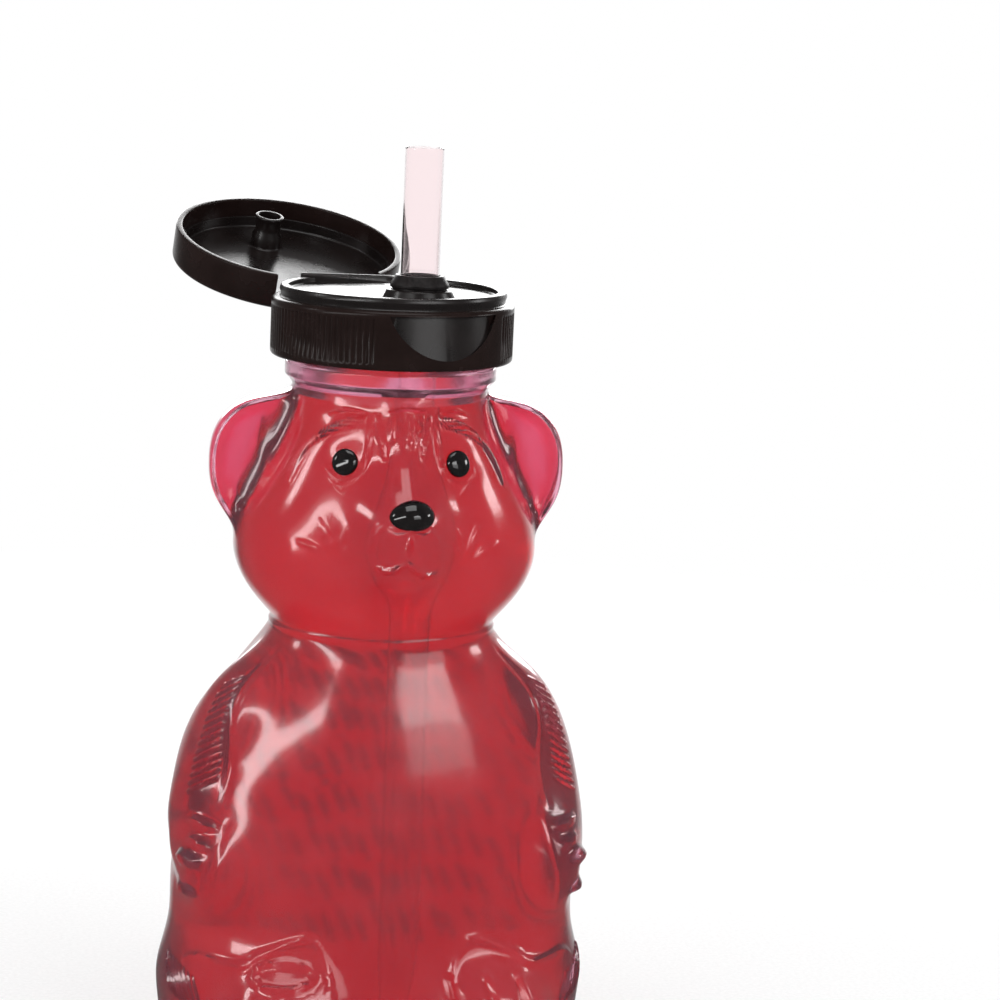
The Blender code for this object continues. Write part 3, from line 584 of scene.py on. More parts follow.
leg_top = [(68, 31.6), (62, 33.4), (46, 33.9), (41.3, 35.9), (28.2, 38.9), (21.5, 34.6), (18.5, 28)]
both_sides(leg_top, 1, 0.6, 0.4)
pad = [(-33 + 8.6 * math.cos(t), 33.3 + 1.9 * math.sin(t)) for t in np.linspace(0, 2 * math.pi, 13)]
stroke(pad, 0.8, 0.7, steps=3)
stroke([(-32, 30.6), (-31, 27), (-31, 20)], 1.2, -0.5, 0.3)
for gap in (19.4, 28.8, 38):
    stroke([(gap, 32.6), (gap + 0.3, 29), (gap + 0.6, 22)], 1.1, -0.9, 0.3)
for share in np.linspace(0, 1, 8):
    both_sides([(79 - 16 * share, 31.5 - 2 * share), (72 - 14 * share, 25 - 1.5 * share)], 0.5, 0.5, 0.4)

BACK_ROWS, BACK_HAIRS = 8, 22
hand = np.random.default_rng(7)
for row in range(BACK_ROWS):
    for hair in range(BACK_HAIRS):
        angle = 128 + (hair + 0.5 * (row % 2)) * 104 / BACK_HAIRS + hand.uniform(-0.6, 0.6)
        height = 79 - 6.6 * row + hand.uniform(-1.2, 1.2)
        lock = [(angle + 3, height), (angle, height - 3.8), (angle - 2.5, height - 7.6)]
        stroke(lock, 0.6, 0.85, 0.8, steps=2)
both_sides([(0, 87.3), (45, 87.8), (90, 87.6), (135, 87.6), (180, 87.6)], 0.8, 0.3, steps=12)
print(len(strokes), "strokes in all")

# %% [markdown]
# ## Finer faces along the strokes
# A hair is a millimetre wide, so the skin needs faces of half a millimetre or less beside it, and only there.
# We subdivide the faces near any stroke once, and those near the thinnest strokes once more.

# %% Refine the skin
def refine(obj, widest, reach):
    """Subdivides the faces whose middle is near a stroke that is no wider than the widest given."""
    spots = []
    for line, half_width, *rest in strokes:
        if half_width <= widest:
            for start, end in zip(line, line[1:]):
                steps = max(1, int(np.linalg.norm(end - start) / (0.4 * MM)))
                spots += [start + (end - start) * share / steps for share in range(steps + 1)]
    near = KDTree(len(spots))
    for index, spot in enumerate(spots):
        near.insert(spot, index)
    near.balance()
    edit(obj)
    picked = pick(obj, "FACE", lambda f: near.find(f.calc_center_median())[2] < reach)
    bpy.ops.mesh.subdivide(number_cuts=1, smoothness=1)
    done()
    print(f"{picked} faces made finer, {len(obj.data.polygons)} in all")


refine(skin, 3 * MM, 1.9 * MM)
refine(skin, 0.6 * MM, 0.8 * MM)

# %% [markdown]
# ## The strokes go in
# Every point of the skin rises along its own normal by its distance to the strokes. Where two strokes cross,
# the stronger one counts. Each ear is a thin disc with a rolled rim: its dish sinks where a point lies well
# inside the ear's outline, a rounded square. Wall and drink sink with it, so that the wall stays even.

# %% Carve
EAR_ROOT, EAR_REACH, EAR_Z, EAR_HALF = 16 * MM, 30.4 * MM, WAIST + 27.1 * MM, 11.9 * MM
EAR_DISH, EAR_SQUARE, EAR_RIM = 0.7 * MM, 2.6, 0.15


def smooth_step(value):
    t = np.clip(value, 0, 1)
    return t * t * (3 - 2 * t)


def carve(points, lift, line, half_width, height, taper):
    """Adds one stroke to the lifts of the points."""
    near = np.all((points > line.min(0) - half_width) & (points < line.max(0) + half_width), axis=1)
    spots, best = points[near], np.zeros(near.sum())
    lengths = np.linalg.norm(np.diff(line, axis=0), axis=1)
    passed = np.concatenate([[0], np.cumsum(lengths)]) / lengths.sum()
    for start, end, length, before, after in zip(line, line[1:], lengths, passed, passed[1:]):
        t = np.clip((spots - start) @ (end - start) / length**2, 0, 1)
        away = np.linalg.norm(spots - start - t[:, None] * (end - start), axis=1)
        full = 1 - taper * (2 * (before + t * (after - before)) - 1) ** 2
        best = np.maximum(best, smooth_step(1 - away / (half_width * full)) * full)
    raised = height * best
    lift[near] = np.where(np.abs(raised) > np.abs(lift[near]), raised, lift[near])


def ear_dish(points, normals):
    """How far each point sinks into the dish of an ear."""
    aside = np.abs(points[:, 0])
    out = np.clip((aside - EAR_ROOT) / (EAR_REACH - EAR_ROOT), 0, 2)
    up = np.abs(points[:, 2] - EAR_Z) / EAR_HALF
    from_edge = 1 - (out**EAR_SQUARE + up**EAR_SQUARE) ** (1 / EAR_SQUARE)
    in_ear = (aside > 20 * MM) & (up < 1) & (np.abs(normals[:, 1]) > 0.5) & (np.abs(points[:, 1]) < 5 * MM)
    inside_rim, off_head = (from_edge - EAR_RIM) / 0.07, (aside / MM - 20.5) / 1.5
    return EAR_DISH * in_ear * smooth_step(inside_rim) * smooth_step(off_head)


def carve_all(obj, lines):
    """Moves the object's points along their normals by the strokes given and the dish of the ears."""
    points, normals = (np.array([getattr(v, what) for v in obj.data.vertices]) for what in ("co", "normal"))
    lift = np.zeros(len(points))
    for each in lines:
        carve(points, lift, *each)
    lift -= ear_dish(points, normals)
    obj.data.vertices.foreach_set("co", (points + normals * lift[:, None]).ravel())
    obj.data.update()
    print(f"{obj.name}: carved from {lift.min() / MM:.2f} to {lift.max() / MM:.2f} mm")


carve_all(skin, strokes)
carve_all(inner, [])
carve_all(drink, [])

# %% [markdown]
# ## Turned shapes
# Neck, cap, lid, seal and straw are all round, so each is drawn as half a section, a list of (radius, height)
# points with an arc at every rounded edge. A ring of vertices is then extruded from point to point and
# resized at each, as one pulls up a pot.

# %% Arcs and rings
def ring_up(rings, start, centre=(0, 0)):
    """Extrudes the picked ring through (radius, height) rings, starting from the ring it is at."""
    for (radius, height), (next_radius, next_height) in zip([start] + rings, rings):
        rise, size = next_height - height, next_radius / radius
        bpy.ops.mesh.extrude_edges_move(TRANSFORM_OT_translate={"value": (0, 0, rise)})
        bpy.ops.transform.resize(value=(size, size, 1), center_override=(*centre, next_height))


def arc(centre_radius, centre_height, radius, start, end, steps=4):
    """Points of a half section on a circle about a centre, between two angles in degrees."""
    turns = np.radians(np.linspace(start, end, steps + 1))
    return [(centre_radius + radius * math.cos(t), centre_height + radius * math.sin(t)) for t in turns]


def rounded(radius, height, edge, start, end, steps=4):
    """The corner at a radius and height with its edge rounded, drawn from one angle to another."""
    middle = math.radians((start + end) / 2)
    out, up = math.copysign(edge, math.cos(middle)), math.copysign(edge, math.sin(middle))
    return arc(radius - out, height - up, edge, start, end, steps)


trial = rounded(20 * MM, 10 * MM, 1 * MM, 0, 90, 2)
print("a 1 mm edge in two steps, in mm:", [(round(r / MM, 2), round(h / MM, 2)) for r, h in trial])

# %% [markdown]
# ## Finishing a piece
# Most pieces end the same way: they are shaded smooth except over their sharp edges, get their material, and
# are hung on the body that moves them. Some pieces have two finishes, as where part of a mould is polished.

# %% Finishing helpers
SHARP_EDGE = 35


def two_finishes(obj, main, other, test):
    """Gives the faces that pass the test the other finish, and the rest the main one."""
    obj.data.materials.append(main)
    obj.data.materials.append(other)
    obj.active_material_index = 1
    edit(obj)
    picked = pick(obj, "FACE", test)
    bpy.ops.object.material_slot_assign()
    done()
    print(f"{obj.name}: {picked} faces in {other.name}")


def finish(obj, material, body, sharp=SHARP_EDGE):
    """Shades the piece, gives it its finish, and hangs it on its body."""
    only(obj)
    bpy.ops.object.shade_smooth_by_angle(angle=math.radians(sharp))
    if not obj.data.materials:
        obj.data.materials.append(material)
    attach(obj, body)
    obj.data.calc_loop_triangles()
    print(f"{obj.name}: {len(obj.data.loop_triangles)} triangles in {material.name}")
    return obj


print(f"edges bent by more than {SHARP_EDGE} degrees stay sharp")

# %% [markdown]
# ## Neck, thread and lip
# Above the crown the bottle is turned: a support bead, one turn of thread and a rounded lip. The rings are
# extruded upwards from the skin's open edge, and each point of the neck then rises by how near it is to the
# thread's helix.

# %% Neck
CROWN_RADIUS, BEAD_RADIUS = 16.6 * MM, 17.9 * MM


def neck_profile():
    bead = rounded(BEAD_RADIUS, CROWN + 1.2 * MM, 0.5 * MM, -60, 0)
    bead += rounded(BEAD_RADIUS, CROWN + 3.9 * MM, 0.5 * MM, 0, 60)
    wall = [(NECK_RADIUS, h) for h in np.arange(CROWN + 4.4 * MM, LIP - 0.6 * MM, 0.4 * MM)]
    lip = rounded(NECK_RADIUS, LIP, 0.6 * MM, 0, 90)
    return [(NECK_RADIUS, CROWN + 0.9 * MM)] + bead + wall + lip


def extrude_neck(obj, first_radius, rings):
    """Puts the open top ring exactly on a circle at the crown and extrudes it through the rings."""
    for vert in (v for v in obj.data.vertices if v.co.z > CROWN - 0.3 * MM):
        size = first_radius / vert.co.xy.length
        vert.co = (vert.co.x * size, vert.co.y * size, CROWN)
    edit(obj)
    pick(obj, "EDGE", lambda e: e.is_boundary)
    ring_up(rings, (first_radius, CROWN))
    done()


def helix_share(point, start_height, root=0.8 * MM, crest=0.35 * MM):
    """1 on the thread's crest, 0 off its root, for a point at its own angle round the neck."""
    along = (math.atan2(point.y, point.x) - THREAD_START) % (2 * math.pi) / (2 * math.pi)
    away = abs(point.z - start_height - THREAD_PITCH * along)
    ends = min(1, min(along, 1 - along) / 0.03)
    return min(1, max(0, (root - away) / (root - crest))) * ends


extrude_neck(skin, CROWN_RADIUS, neck_profile())
for vert in skin.data.vertices:
    if vert.co.z > CROWN + 4.3 * MM and abs(vert.co.xy.length - NECK_RADIUS) < 0.01 * MM:
        vert.co.xy *= 1 + THREAD_DEPTH * helix_share(vert.co, THREAD_LOW) / NECK_RADIUS
extrude_neck(inner, NECK_BORE, [(NECK_BORE, LIP - 0.5 * MM), (NECK_BORE + 0.15 * MM, LIP - 0.15 * MM)])
skin.data.materials.append(LDPE)
edit(inner, everything=True)
bpy.ops.mesh.flip_normals()
done()
two_finishes(inner, LDPE, WETTED_LDPE, lambda f: f.calc_center_median().z < FILL)
only(skin)
inner.select_set(True)
bpy.ops.object.join()
edit(skin)
pick(skin, "EDGE", lambda e: e.is_boundary)
bpy.ops.mesh.bridge_edge_loops()
done()
finish(skin, LDPE, "bottle", sharp=50)
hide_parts("bear_bottle")
finish(drink, DRINK, "bottle", sharp=50)

# %% [markdown]
# ## Eyes and nose
# Each is a drop of thick enamel. It wets the skin, so its foot follows every curve, and surface tension
# rounds the rest. We flatten half a ball into a cushion and lay it on the carved skin, point by point, along
# the skin's own slope.

# %% Enamel drops
carved = surface_of(skin)


def added(add_shape, **settings):
    """Runs one of Blender's add operators with nothing else selected, and gives the new object."""
    bpy.ops.object.select_all(action="DESELECT")
    add_shape(**settings)
    return bpy.context.object


def enamel_drop(node, angle, height, half_width, half_height, rise):
    spot, slope = seen_from_outside(carved, angle, height)
    across = Vector((0, 0, 1)).cross(slope).normalized()
    upwards = slope.cross(across)
    drop = added(bpy.ops.mesh.primitive_uv_sphere_add, segments=40, ring_count=24, radius=1)
    drop.name = drop.data.name = node + "_drop"
    for vert in drop.data.vertices:
        side, up, out = vert.co
        start = spot + across * side * half_width + upwards * up * half_height + slope * 5 * MM
        foot = carved.ray_cast(start, -slope)[0]
        cushion = rise * max(out, 0) ** 0.8
        vert.co = foot + slope * (0.03 * MM + cushion)
    edit(drop)
    face_outwards()
    done()
    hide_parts(node)
    finish(drop, ENAMEL, "bottle", sharp=60)


NOSE_Z = WAIST + 22.7 * MM
enamel_drop("left_eye", EYE_TURN, EYE_Z * MM, 2.25 * MM, 2.25 * MM, 1.15 * MM)
enamel_drop("right_eye", -EYE_TURN, EYE_Z * MM, 2.25 * MM, 2.25 * MM, 1.15 * MM)
enamel_drop("nose", NOSE_TURN, NOSE_Z + 0.2 * MM, 3.8 * MM, 2.6 * MM, 1.5 * MM)

# %% [markdown]
# ## The screw cap
# One moulding does a lot here: a ribbed skirt to grip, a thread inside, a rim that the lid snaps over, a
# polished deck, a spout and a thumb notch. All but the last two are turned, so one half section comes first.
# The small hole on the axis keeps the rings open, and it is filled at the end.

# %% Half section of the cap
RIM_RADIUS, RIM_WALL, RIM_EDGE, SNAP_BEAD = CAP_RADIUS - 1.5 * MM, 1.4 * MM, 0.3 * MM, 0.15 * MM
SKIRT_LOW, DECK_LOW = LIP - 8.2 * MM, LIP + 1.4 * MM
RIB_LOW, RIB_HIGH, RIB_RAMP = LIP - 7.1 * MM, LIP + 0.3 * MM, 0.2 * MM
AXIS_HOLE = 0.4 * MM


def cap_profile():
    bore = [(CAP_BORE, height) for height in np.arange(DECK_LOW, SKIRT_LOW + 0.5 * MM, -0.3 * MM)]
    foot = rounded(CAP_BORE, SKIRT_LOW, 0.3 * MM, 180, 270)
    foot += rounded(CAP_RADIUS, SKIRT_LOW, 0.6 * MM, 270, 360)
    ribbed = [RIB_LOW, RIB_LOW + RIB_RAMP, RIB_HIGH - RIB_RAMP, RIB_HIGH]
    side = [(CAP_RADIUS, height) for height in ribbed]
    shoulder = rounded(CAP_RADIUS, SHOULDER, 0.9 * MM, 0, 90, 6)
    steps = ((SNAP_BEAD, 0), (0, 0.15 * MM), (0, 0.7 * MM), (SNAP_BEAD, 1.1 * MM), (SNAP_BEAD, 1.3 * MM))
    rim = [(RIM_RADIUS + out, SHOULDER + up) for out, up in steps]
    inside = RIM_RADIUS - RIM_WALL
    rim += rounded(RIM_RADIUS, RIM_TOP, RIM_EDGE, 15, 90) + rounded(inside, RIM_TOP, RIM_EDGE, 90, 180)
    rim += rounded(inside, DECK, RIM_EDGE, 0, -90)
    return [(AXIS_HOLE, DECK_LOW)] + bore + foot + side + shoulder + rim + [(AXIS_HOLE, DECK)]


print(len(cap_profile()), "points in the cap's half section")

# %% [markdown]
# ## Turning the cap
# A circle is added at the first point and extruded through the rest. Its two end rings are filled, or
# bridged where a piece has a bore right through. Ribs and thread then move points in or out by their angle.

# %% Cap, turned and ribbed
RIB_DEPTH, RIB_COUNT, RIB_STEPS, RIB_PANEL = 0.22 * MM, 120, 4, math.radians(35.5)
CAP_THREAD_LOW = THREAD_LOW - 1.45 * MM


def apply_place(obj):
    only(obj)
    bpy.ops.object.transform_apply(location=True, rotation=True, scale=True)


def turn(name, profile, steps, centre=(0, 0), closed=True):
    """A turned piece from its half section of (radius, height) points; its ends are bridged or filled."""
    start, *rings = profile
    place = (*centre, start[1])
    obj = added(bpy.ops.mesh.primitive_circle_add, vertices=steps, radius=start[0], location=place)
    obj.name = obj.data.name = name
    apply_place(obj)
    edit(obj, everything=True)
    ring_up(rings, start, centre)
    pick(obj, "EDGE", lambda e: e.is_boundary)
    if closed:
        bpy.ops.mesh.bridge_edge_loops()
    else:
        bpy.ops.mesh.fill_holes(sides=0)
    face_outwards()
    done()
    return obj


def cut_ribs(obj):
    """Sets every other pair of columns back between the ribs' ends, but not in the smooth front panel."""
    step = 2 * math.pi / (RIB_COUNT * RIB_STEPS)
    for vert in obj.data.vertices:
        on_side = abs(vert.co.xy.length - CAP_RADIUS) < MERGE
        if on_side and RIB_LOW + MERGE < vert.co.z < RIB_HIGH - MERGE:
            from_front = math.atan2(vert.co.x, -vert.co.y)
            if abs(from_front) > RIB_PANEL and round(from_front / step) % RIB_STEPS < 2:
                vert.co.xy *= 1 - RIB_DEPTH / CAP_RADIUS


def cut_cap_thread(obj):
    """Draws the bore's points inwards along the helix that runs under the bottle's thread."""
    for vert in obj.data.vertices:
        if abs(vert.co.xy.length - CAP_BORE) < MERGE and SKIRT_LOW + 0.6 * MM < vert.co.z < DECK_LOW:
            vert.co.xy *= 1 - THREAD_DEPTH * helix_share(vert.co, CAP_THREAD_LOW) / CAP_BORE


cap = turn("threaded_cap", cap_profile(), RIB_COUNT * RIB_STEPS, closed=False)
cut_ribs(cap)
cap.rotation_euler.z = CAP_TURN
apply_place(cap)
cut_cap_thread(cap)
print(f"cap: {len(cap.data.polygons)} faces, ribs every {2 * math.pi * CAP_RADIUS / RIB_COUNT / MM:.2f} mm")

# %% [markdown]
# ## Thumb notch
# The notch is a half moon whose floor slopes in towards a flat ledge, so that a thumb finds the lid's edge.
# It is what a disc leaves when a cone and everything above the ledge are taken from it. The helpers make
# such blocks and rods, and cut them from a piece or join them on.

# %% Notch
NOTCH_WIDTH, NOTCH_HEIGHT, NOTCH_LEDGE, NOTCH_DEPTH = 19.6 * MM, 7.2 * MM, 0.8 * MM, 1.1 * MM


def cut(obj, tool, operation="DIFFERENCE"):
    """Cuts a tool from the object, or joins it on, and throws the tool away."""
    modify(obj, "BOOLEAN", operation=operation, object=tool)
    bpy.data.objects.remove(tool)
    edit(obj, everything=True)
    bpy.ops.mesh.remove_doubles(threshold=MERGE)
    done()


def block(low, high):
    """A box between two corners."""
    middle = [(a + b) / 2 for a, b in zip(low, high)]
    box = added(bpy.ops.mesh.primitive_cube_add, size=1, location=middle)
    box.scale = [b - a for a, b in zip(low, high)]
    apply_place(box)
    return box


def rod(radius, low, high, centre=(0, 0), top_radius=None, steps=96):
    """An upright cylinder or cone between two heights."""
    top, middle = radius if top_radius is None else top_radius, (*centre, (low + high) / 2)
    sizes = {"radius1": radius, "radius2": top, "depth": high - low}
    made = added(bpy.ops.mesh.primitive_cone_add, vertices=steps, location=middle, **sizes)
    apply_place(made)
    return made


def turned_with_cap(obj):
    obj.matrix_world = Matrix.Rotation(CAP_TURN, 4, "Z") @ obj.matrix_world
    apply_place(obj)
    return obj


notch_top = SHOULDER - NOTCH_LEDGE
notch_low = notch_top - NOTCH_HEIGHT
moon_radius = (NOTCH_WIDTH**2 / 4 + NOTCH_HEIGHT**2) / (2 * NOTCH_HEIGHT)
moon = rod(moon_radius, -3 * MM, 3 * MM, steps=256)
in_front = Matrix.Translation((0, -CAP_RADIUS, notch_low + moon_radius))
moon.matrix_world = in_front @ Matrix.Rotation(math.pi / 2, 4, "X")
apply_place(moon)
cut(moon, block((-0.1, -0.1, notch_top), (0.1, 0.1, 0.2)))
cut(moon, rod(CAP_RADIUS, notch_low, notch_top, top_radius=CAP_RADIUS - NOTCH_DEPTH, steps=480))
cut(cap, turned_with_cap(moon))
print(f"notch cut with a disc of {moon_radius / MM:.1f} mm radius, {len(cap.data.polygons)} faces in the cap")

# %% [markdown]
# ## Spout, hinge lug and bar
# The spout is a collar round the straw seal, the lug carries the hinge, and the bar across the back of the
# deck stops the lid's wall when it opens. It sinks a little to one end, as an edge does that has been bent
# often. The deck and the notch are polished and the rest is satin.

# %% Spout, lug and bar
SPOUT_RADIUS, SPOUT_BORE, SPOUT_TOP = 6 * MM, 4.7 * MM, LIP + 4.2 * MM
HINGE_HALF = 6 * MM
foot, inside = 0.3 * MM, SPOUT_BORE - 0.3 * MM
collar = [(inside, DECK - 0.5 * MM), (SPOUT_RADIUS + foot, DECK - 0.5 * MM), (SPOUT_RADIUS + foot, DECK)]
collar += rounded(SPOUT_RADIUS, DECK, foot, 270, 180)
collar += rounded(SPOUT_RADIUS - 0.5 * MM, SPOUT_TOP, 0.25 * MM, 0, 90) + [(inside, SPOUT_TOP)]
cut(cap, turn("collar", collar, 96, SPOUT), "UNION")
cut(cap, rod(SPOUT_BORE, DECK_LOW - 1 * MM, SPOUT_TOP + 1 * MM, SPOUT))
lug_corner = (-HINGE_HALF, RIM_RADIUS - 0.5 * MM, SHOULDER - 0.8 * MM)
lug = block(lug_corner, (HINGE_HALF, HINGE_REACH, HINGE_Z + 0.3 * MM))
modify(lug, "BEVEL", width=0.25 * MM, segments=3)
cut(cap, turned_with_cap(lug), "UNION")
BAR_HALF, BAR_NEAR, BAR_FAR, BAR_RISE = 9.4 * MM, 16.2 * MM, 17 * MM, 1.75 * MM
bar = block((-BAR_HALF, BAR_NEAR, DECK - 0.4 * MM), (BAR_HALF, BAR_FAR, DECK + BAR_RISE))
edit(bar)
pick(bar, "VERT", lambda v: v.co.z > DECK and v.co.x > 0)
bpy.ops.transform.translate(value=(0, 0, -0.7 * MM))
done()
modify(bar, "BEVEL", width=0.3 * MM, segments=4)
cut(cap, turned_with_cap(bar), "UNION")


def is_polished(face):
    """The top of the cap, and the notch: the only faces in front that lie inside the skirt's round."""
    middle = face.calc_center_median()
    in_front = middle.y < -CAP_BORE / 2 and abs(middle.x - math.tan(CAP_TURN) * -middle.y) < NOTCH_WIDTH / 2
    in_notch = in_front and CAP_BORE + 0.3 * MM < middle.xy.length < CAP_RADIUS - 0.04 * MM
    return middle.z > SHOULDER - MERGE or in_notch and SKIRT_LOW + 1 * MM < middle.z < SHOULDER - NOTCH_LEDGE


two_finishes(cap, SATIN_BLACK, POLISHED_BLACK, is_polished)
finish(cap, SATIN_BLACK, "cap")
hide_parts("screw_cap")

# %% [markdown]
# ## The flip lid
# The lid is drawn shut, where it has to fit the cap, and then swung open about the hinge. Its face is
# polished inside and out, a step inside the wall stiffens it, and a hollow post stands where the straw ends,
# so that it plugs it. Near the hinge the wall is cut away to let it swing.

# %% Lid
LID_LOW, PLATE_LOW, LID_HIGH = LIP + 1.9 * MM, LIP + 7.1 * MM, LIP + 8.3 * MM
LID_RADIUS, LID_BORE, LID_STEP, LID_STEP_Z = 20.45 * MM, 19.35 * MM, 0.45 * MM, LIP + 5.1 * MM
POST_FOOT, POST_NECK, POST_LIP, POST_BORE = 2.75 * MM, 2.3 * MM, 2.6 * MM, 2 * MM
POST_LENGTH, POST_LIP_HEIGHT = 6 * MM, 0.9 * MM
LID_CUTAWAY = 10 * MM


def lid_profile():
    stepped = LID_BORE - LID_STEP
    inner_side = [(AXIS_HOLE, PLATE_LOW)] + rounded(stepped, PLATE_LOW, 0.4 * MM, 90, 0)
    inner_side += rounded(stepped, LID_STEP_Z, 0.1 * MM, 180, 270) + [(LID_BORE, LID_STEP_Z)]
    rim = rounded(LID_BORE, LID_LOW, 0.25 * MM, 180, 270) + rounded(LID_RADIUS, LID_LOW, 0.25 * MM, 270, 360)
    outer_side = rounded(LID_RADIUS, LID_HIGH, 0.9 * MM, 0, 90, 6) + [(AXIS_HOLE, LID_HIGH)]
    return inner_side + rim + outer_side


def post_profile():
    """A stout foot, a slimmer neck and a lip that clicks into the straw, hollow almost to the plate."""
    low, flare = PLATE_LOW - POST_LENGTH, 0.4 * MM
    outer = [(AXIS_HOLE, PLATE_LOW + 0.3 * MM), (POST_FOOT + flare, PLATE_LOW + 0.3 * MM)]
    outer += rounded(POST_FOOT, PLATE_LOW, flare, 90, 180)
    outer += [(POST_FOOT, PLATE_LOW - 2.2 * MM), (POST_NECK, PLATE_LOW - 2.9 * MM)]
    lip = (POST_LIP - 0.25 * MM, low + 0.3 * MM)
    outer += [(POST_NECK, low + POST_LIP_HEIGHT)] + arc(*lip, 0.25 * MM, 40, -90)
    inner_edge = arc(POST_BORE + 0.12 * MM, low + 0.17 * MM, 0.12 * MM, -90, -180)
    return outer + inner_edge + [(POST_BORE, PLATE_LOW - 1 * MM), (AXIS_HOLE, PLATE_LOW - 1 * MM)]


def swing_open(obj):
    """Turns a piece that is drawn shut, in the cap's frame, to the open place on its hinge."""
    hinge = Matrix.Translation((0, HINGE_REACH, HINGE_Z))
    swung = hinge @ Matrix.Rotation(-LID_OPEN, 4, "X") @ hinge.inverted()
    obj.matrix_world = Matrix.Rotation(CAP_TURN, 4, "Z") @ swung @ obj.matrix_world
    apply_place(obj)


lid = turn("hinged_lid", lid_profile(), 240, closed=False)
cutaway_corner = (-LID_CUTAWAY, CAP_RADIUS / 2, LID_LOW - 1 * MM)
cut(lid, block(cutaway_corner, (LID_CUTAWAY, 2 * CAP_RADIUS, PLATE_LOW - 0.1 * MM)))
cut(lid, turn("post", post_profile(), 64, (0, -SPOUT_OFFSET), closed=False), "UNION")
LEAF_TOP, LEAF_HALF = LID_HIGH - 0.9 * MM, 0.4 * MM
leaf = (HINGE_REACH - LEAF_HALF, HINGE_Z + 0.8 * MM, HINGE_REACH + LEAF_HALF)
bridge = (LID_BORE, LEAF_TOP - 1.2 * MM, HINGE_REACH)
for near, low, far in (leaf, bridge):
    bar = block((-HINGE_HALF, near, low), (HINGE_HALF, far, LEAF_TOP))
    modify(bar, "BEVEL", width=0.2 * MM, segments=3)
    cut(lid, bar, "UNION")


def is_lid_face(face):
    """The lid's face and all that lies inside its wall."""
    middle = face.calc_center_median()
    return middle.xy.length < LID_BORE - 0.1 * MM or middle.z > LID_HIGH - 0.3 * MM


two_finishes(lid, SATIN_BLACK, POLISHED_BLACK, is_lid_face)
swing_open(lid)
finish(lid, SATIN_BLACK, "lid")
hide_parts("flip_lid")

# %% [markdown]
# ## The living hinge
# Cap and lid are one moulding, joined by a film of polypropylene that is thin enough to bend for years. Open,
# the film wraps round the hinge's axis, from the lug to the lid's leaf. We spin it as a bent strip and turn
# it with the cap.

# %% Hinge film
FILM_RADIUS, FILM_THICKNESS, FILM_HALF = 0.75 * MM, 0.24 * MM, 7.5 * MM
FILM_FROM, FILM_TO = math.radians(90), math.radians(-74)


first = (0, HINGE_REACH, HINGE_Z + FILM_RADIUS)
film = added(bpy.ops.mesh.primitive_plane_add, size=1, location=first, rotation=(math.pi / 2, 0, 0))
film.name = film.data.name = "hinge_film"
film.scale = (2 * FILM_HALF, FILM_THICKNESS, 1)
apply_place(film)
edit(film, everything=True)
around = {"center": (0, HINGE_REACH, HINGE_Z), "axis": (-1, 0, 0)}
bpy.ops.mesh.spin(steps=12, angle=FILM_FROM - FILM_TO, use_normal_flip=False, **around)
bpy.ops.mesh.select_all(action="SELECT")
bpy.ops.mesh.remove_doubles(threshold=MERGE)
face_outwards()
done()
turned_with_cap(film)
bpy.ops.object.shade_smooth_by_angle(angle=math.radians(50))
film.data.materials.append(SATIN_BLACK)
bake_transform(film)
print("hinge film:", len(film.data.polygons), "faces")

# %% [markdown]
# ## Straw seal and straw
# The seal grips the straw and lets it slide: a tapered flange above the spout, a sleeve through it and a barb
# below the deck. The straw is a clear extruded tube with cut ends, and its wall is 0.3 mm, thin enough to
# see the drink through.

# %% Seal and straw
SEAL_BORE, SEAL_RADIUS, FLANGE_RADIUS = 3.45 * MM, 4.4 * MM, 4.9 * MM
SEAL_LOW, SEAL_TOP, BARB_HIGH, BARB_LOW = LIP + 4.5 * MM, LIP + 6.6 * MM, LIP + 1.1 * MM, LIP + 0.3 * MM
STRAW_RADIUS, STRAW_BORE, STRAW_EDGE = 3.2 * MM, 2.98 * MM, 0.08 * MM
straw_low, straw_top = (corner.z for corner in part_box("straw"))


def seal_profile():
    tip = FLANGE_RADIUS - 0.8 * MM
    flange = rounded(SEAL_BORE, SEAL_TOP, 0.15 * MM, 180, 90) + rounded(tip, SEAL_TOP, 0.25 * MM, 90, 20)
    flange += arc(FLANGE_RADIUS - 0.2 * MM, SEAL_LOW + 0.5 * MM, 0.2 * MM, 20, 0, 2)
    flange += rounded(FLANGE_RADIUS, SEAL_LOW, 0.15 * MM, 0, -90)
    sleeve = [(SEAL_RADIUS, SEAL_LOW), (SEAL_RADIUS, BARB_HIGH)]
    barb = rounded(FLANGE_RADIUS, BARB_HIGH, 0.1 * MM, 90, 0, 2)
    return flange + sleeve + barb + [(SEAL_RADIUS, BARB_LOW), (SEAL_BORE, BARB_LOW)]


def straw_profile():
    top = rounded(STRAW_RADIUS, straw_top, STRAW_EDGE, 0, 90, 3)
    top += rounded(STRAW_BORE, straw_top, STRAW_EDGE, 90, 180, 3)
    heights = [straw_low, straw_low + 0.2 * MM, (straw_low + straw_top) / 2, straw_top - 0.4 * MM]
    outside = [(STRAW_RADIUS, height) for height in heights]
    return outside + top + [(STRAW_BORE, height) for height in reversed(heights)]


seal = finish(turn("soft_seal", seal_profile(), 96, SPOUT), RUBBER, "cap")
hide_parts("straw_seal")
tube = finish(turn("clear_straw", straw_profile(), 96, SPOUT), CLEAR, "straw")
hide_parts("straw")
liner = frame["nodes"]["cap_liner"]
liner.data.materials.clear()
liner.data.materials.append(FOAM)

# %% [markdown]
# ## Studio light
# The cup stands on a white sweep in a white studio. A long strip on the left gives the long highlights, two
# boxes on the right make the patch on the chest and the gleam in the notch, two small ones light the rims,
# and those above and behind light the deck. The camera, and rays that bend through clear plastic, see white
# all round. Mirrored rays see white behind the cup and dim elsewhere, and only a dim room lights the cup.

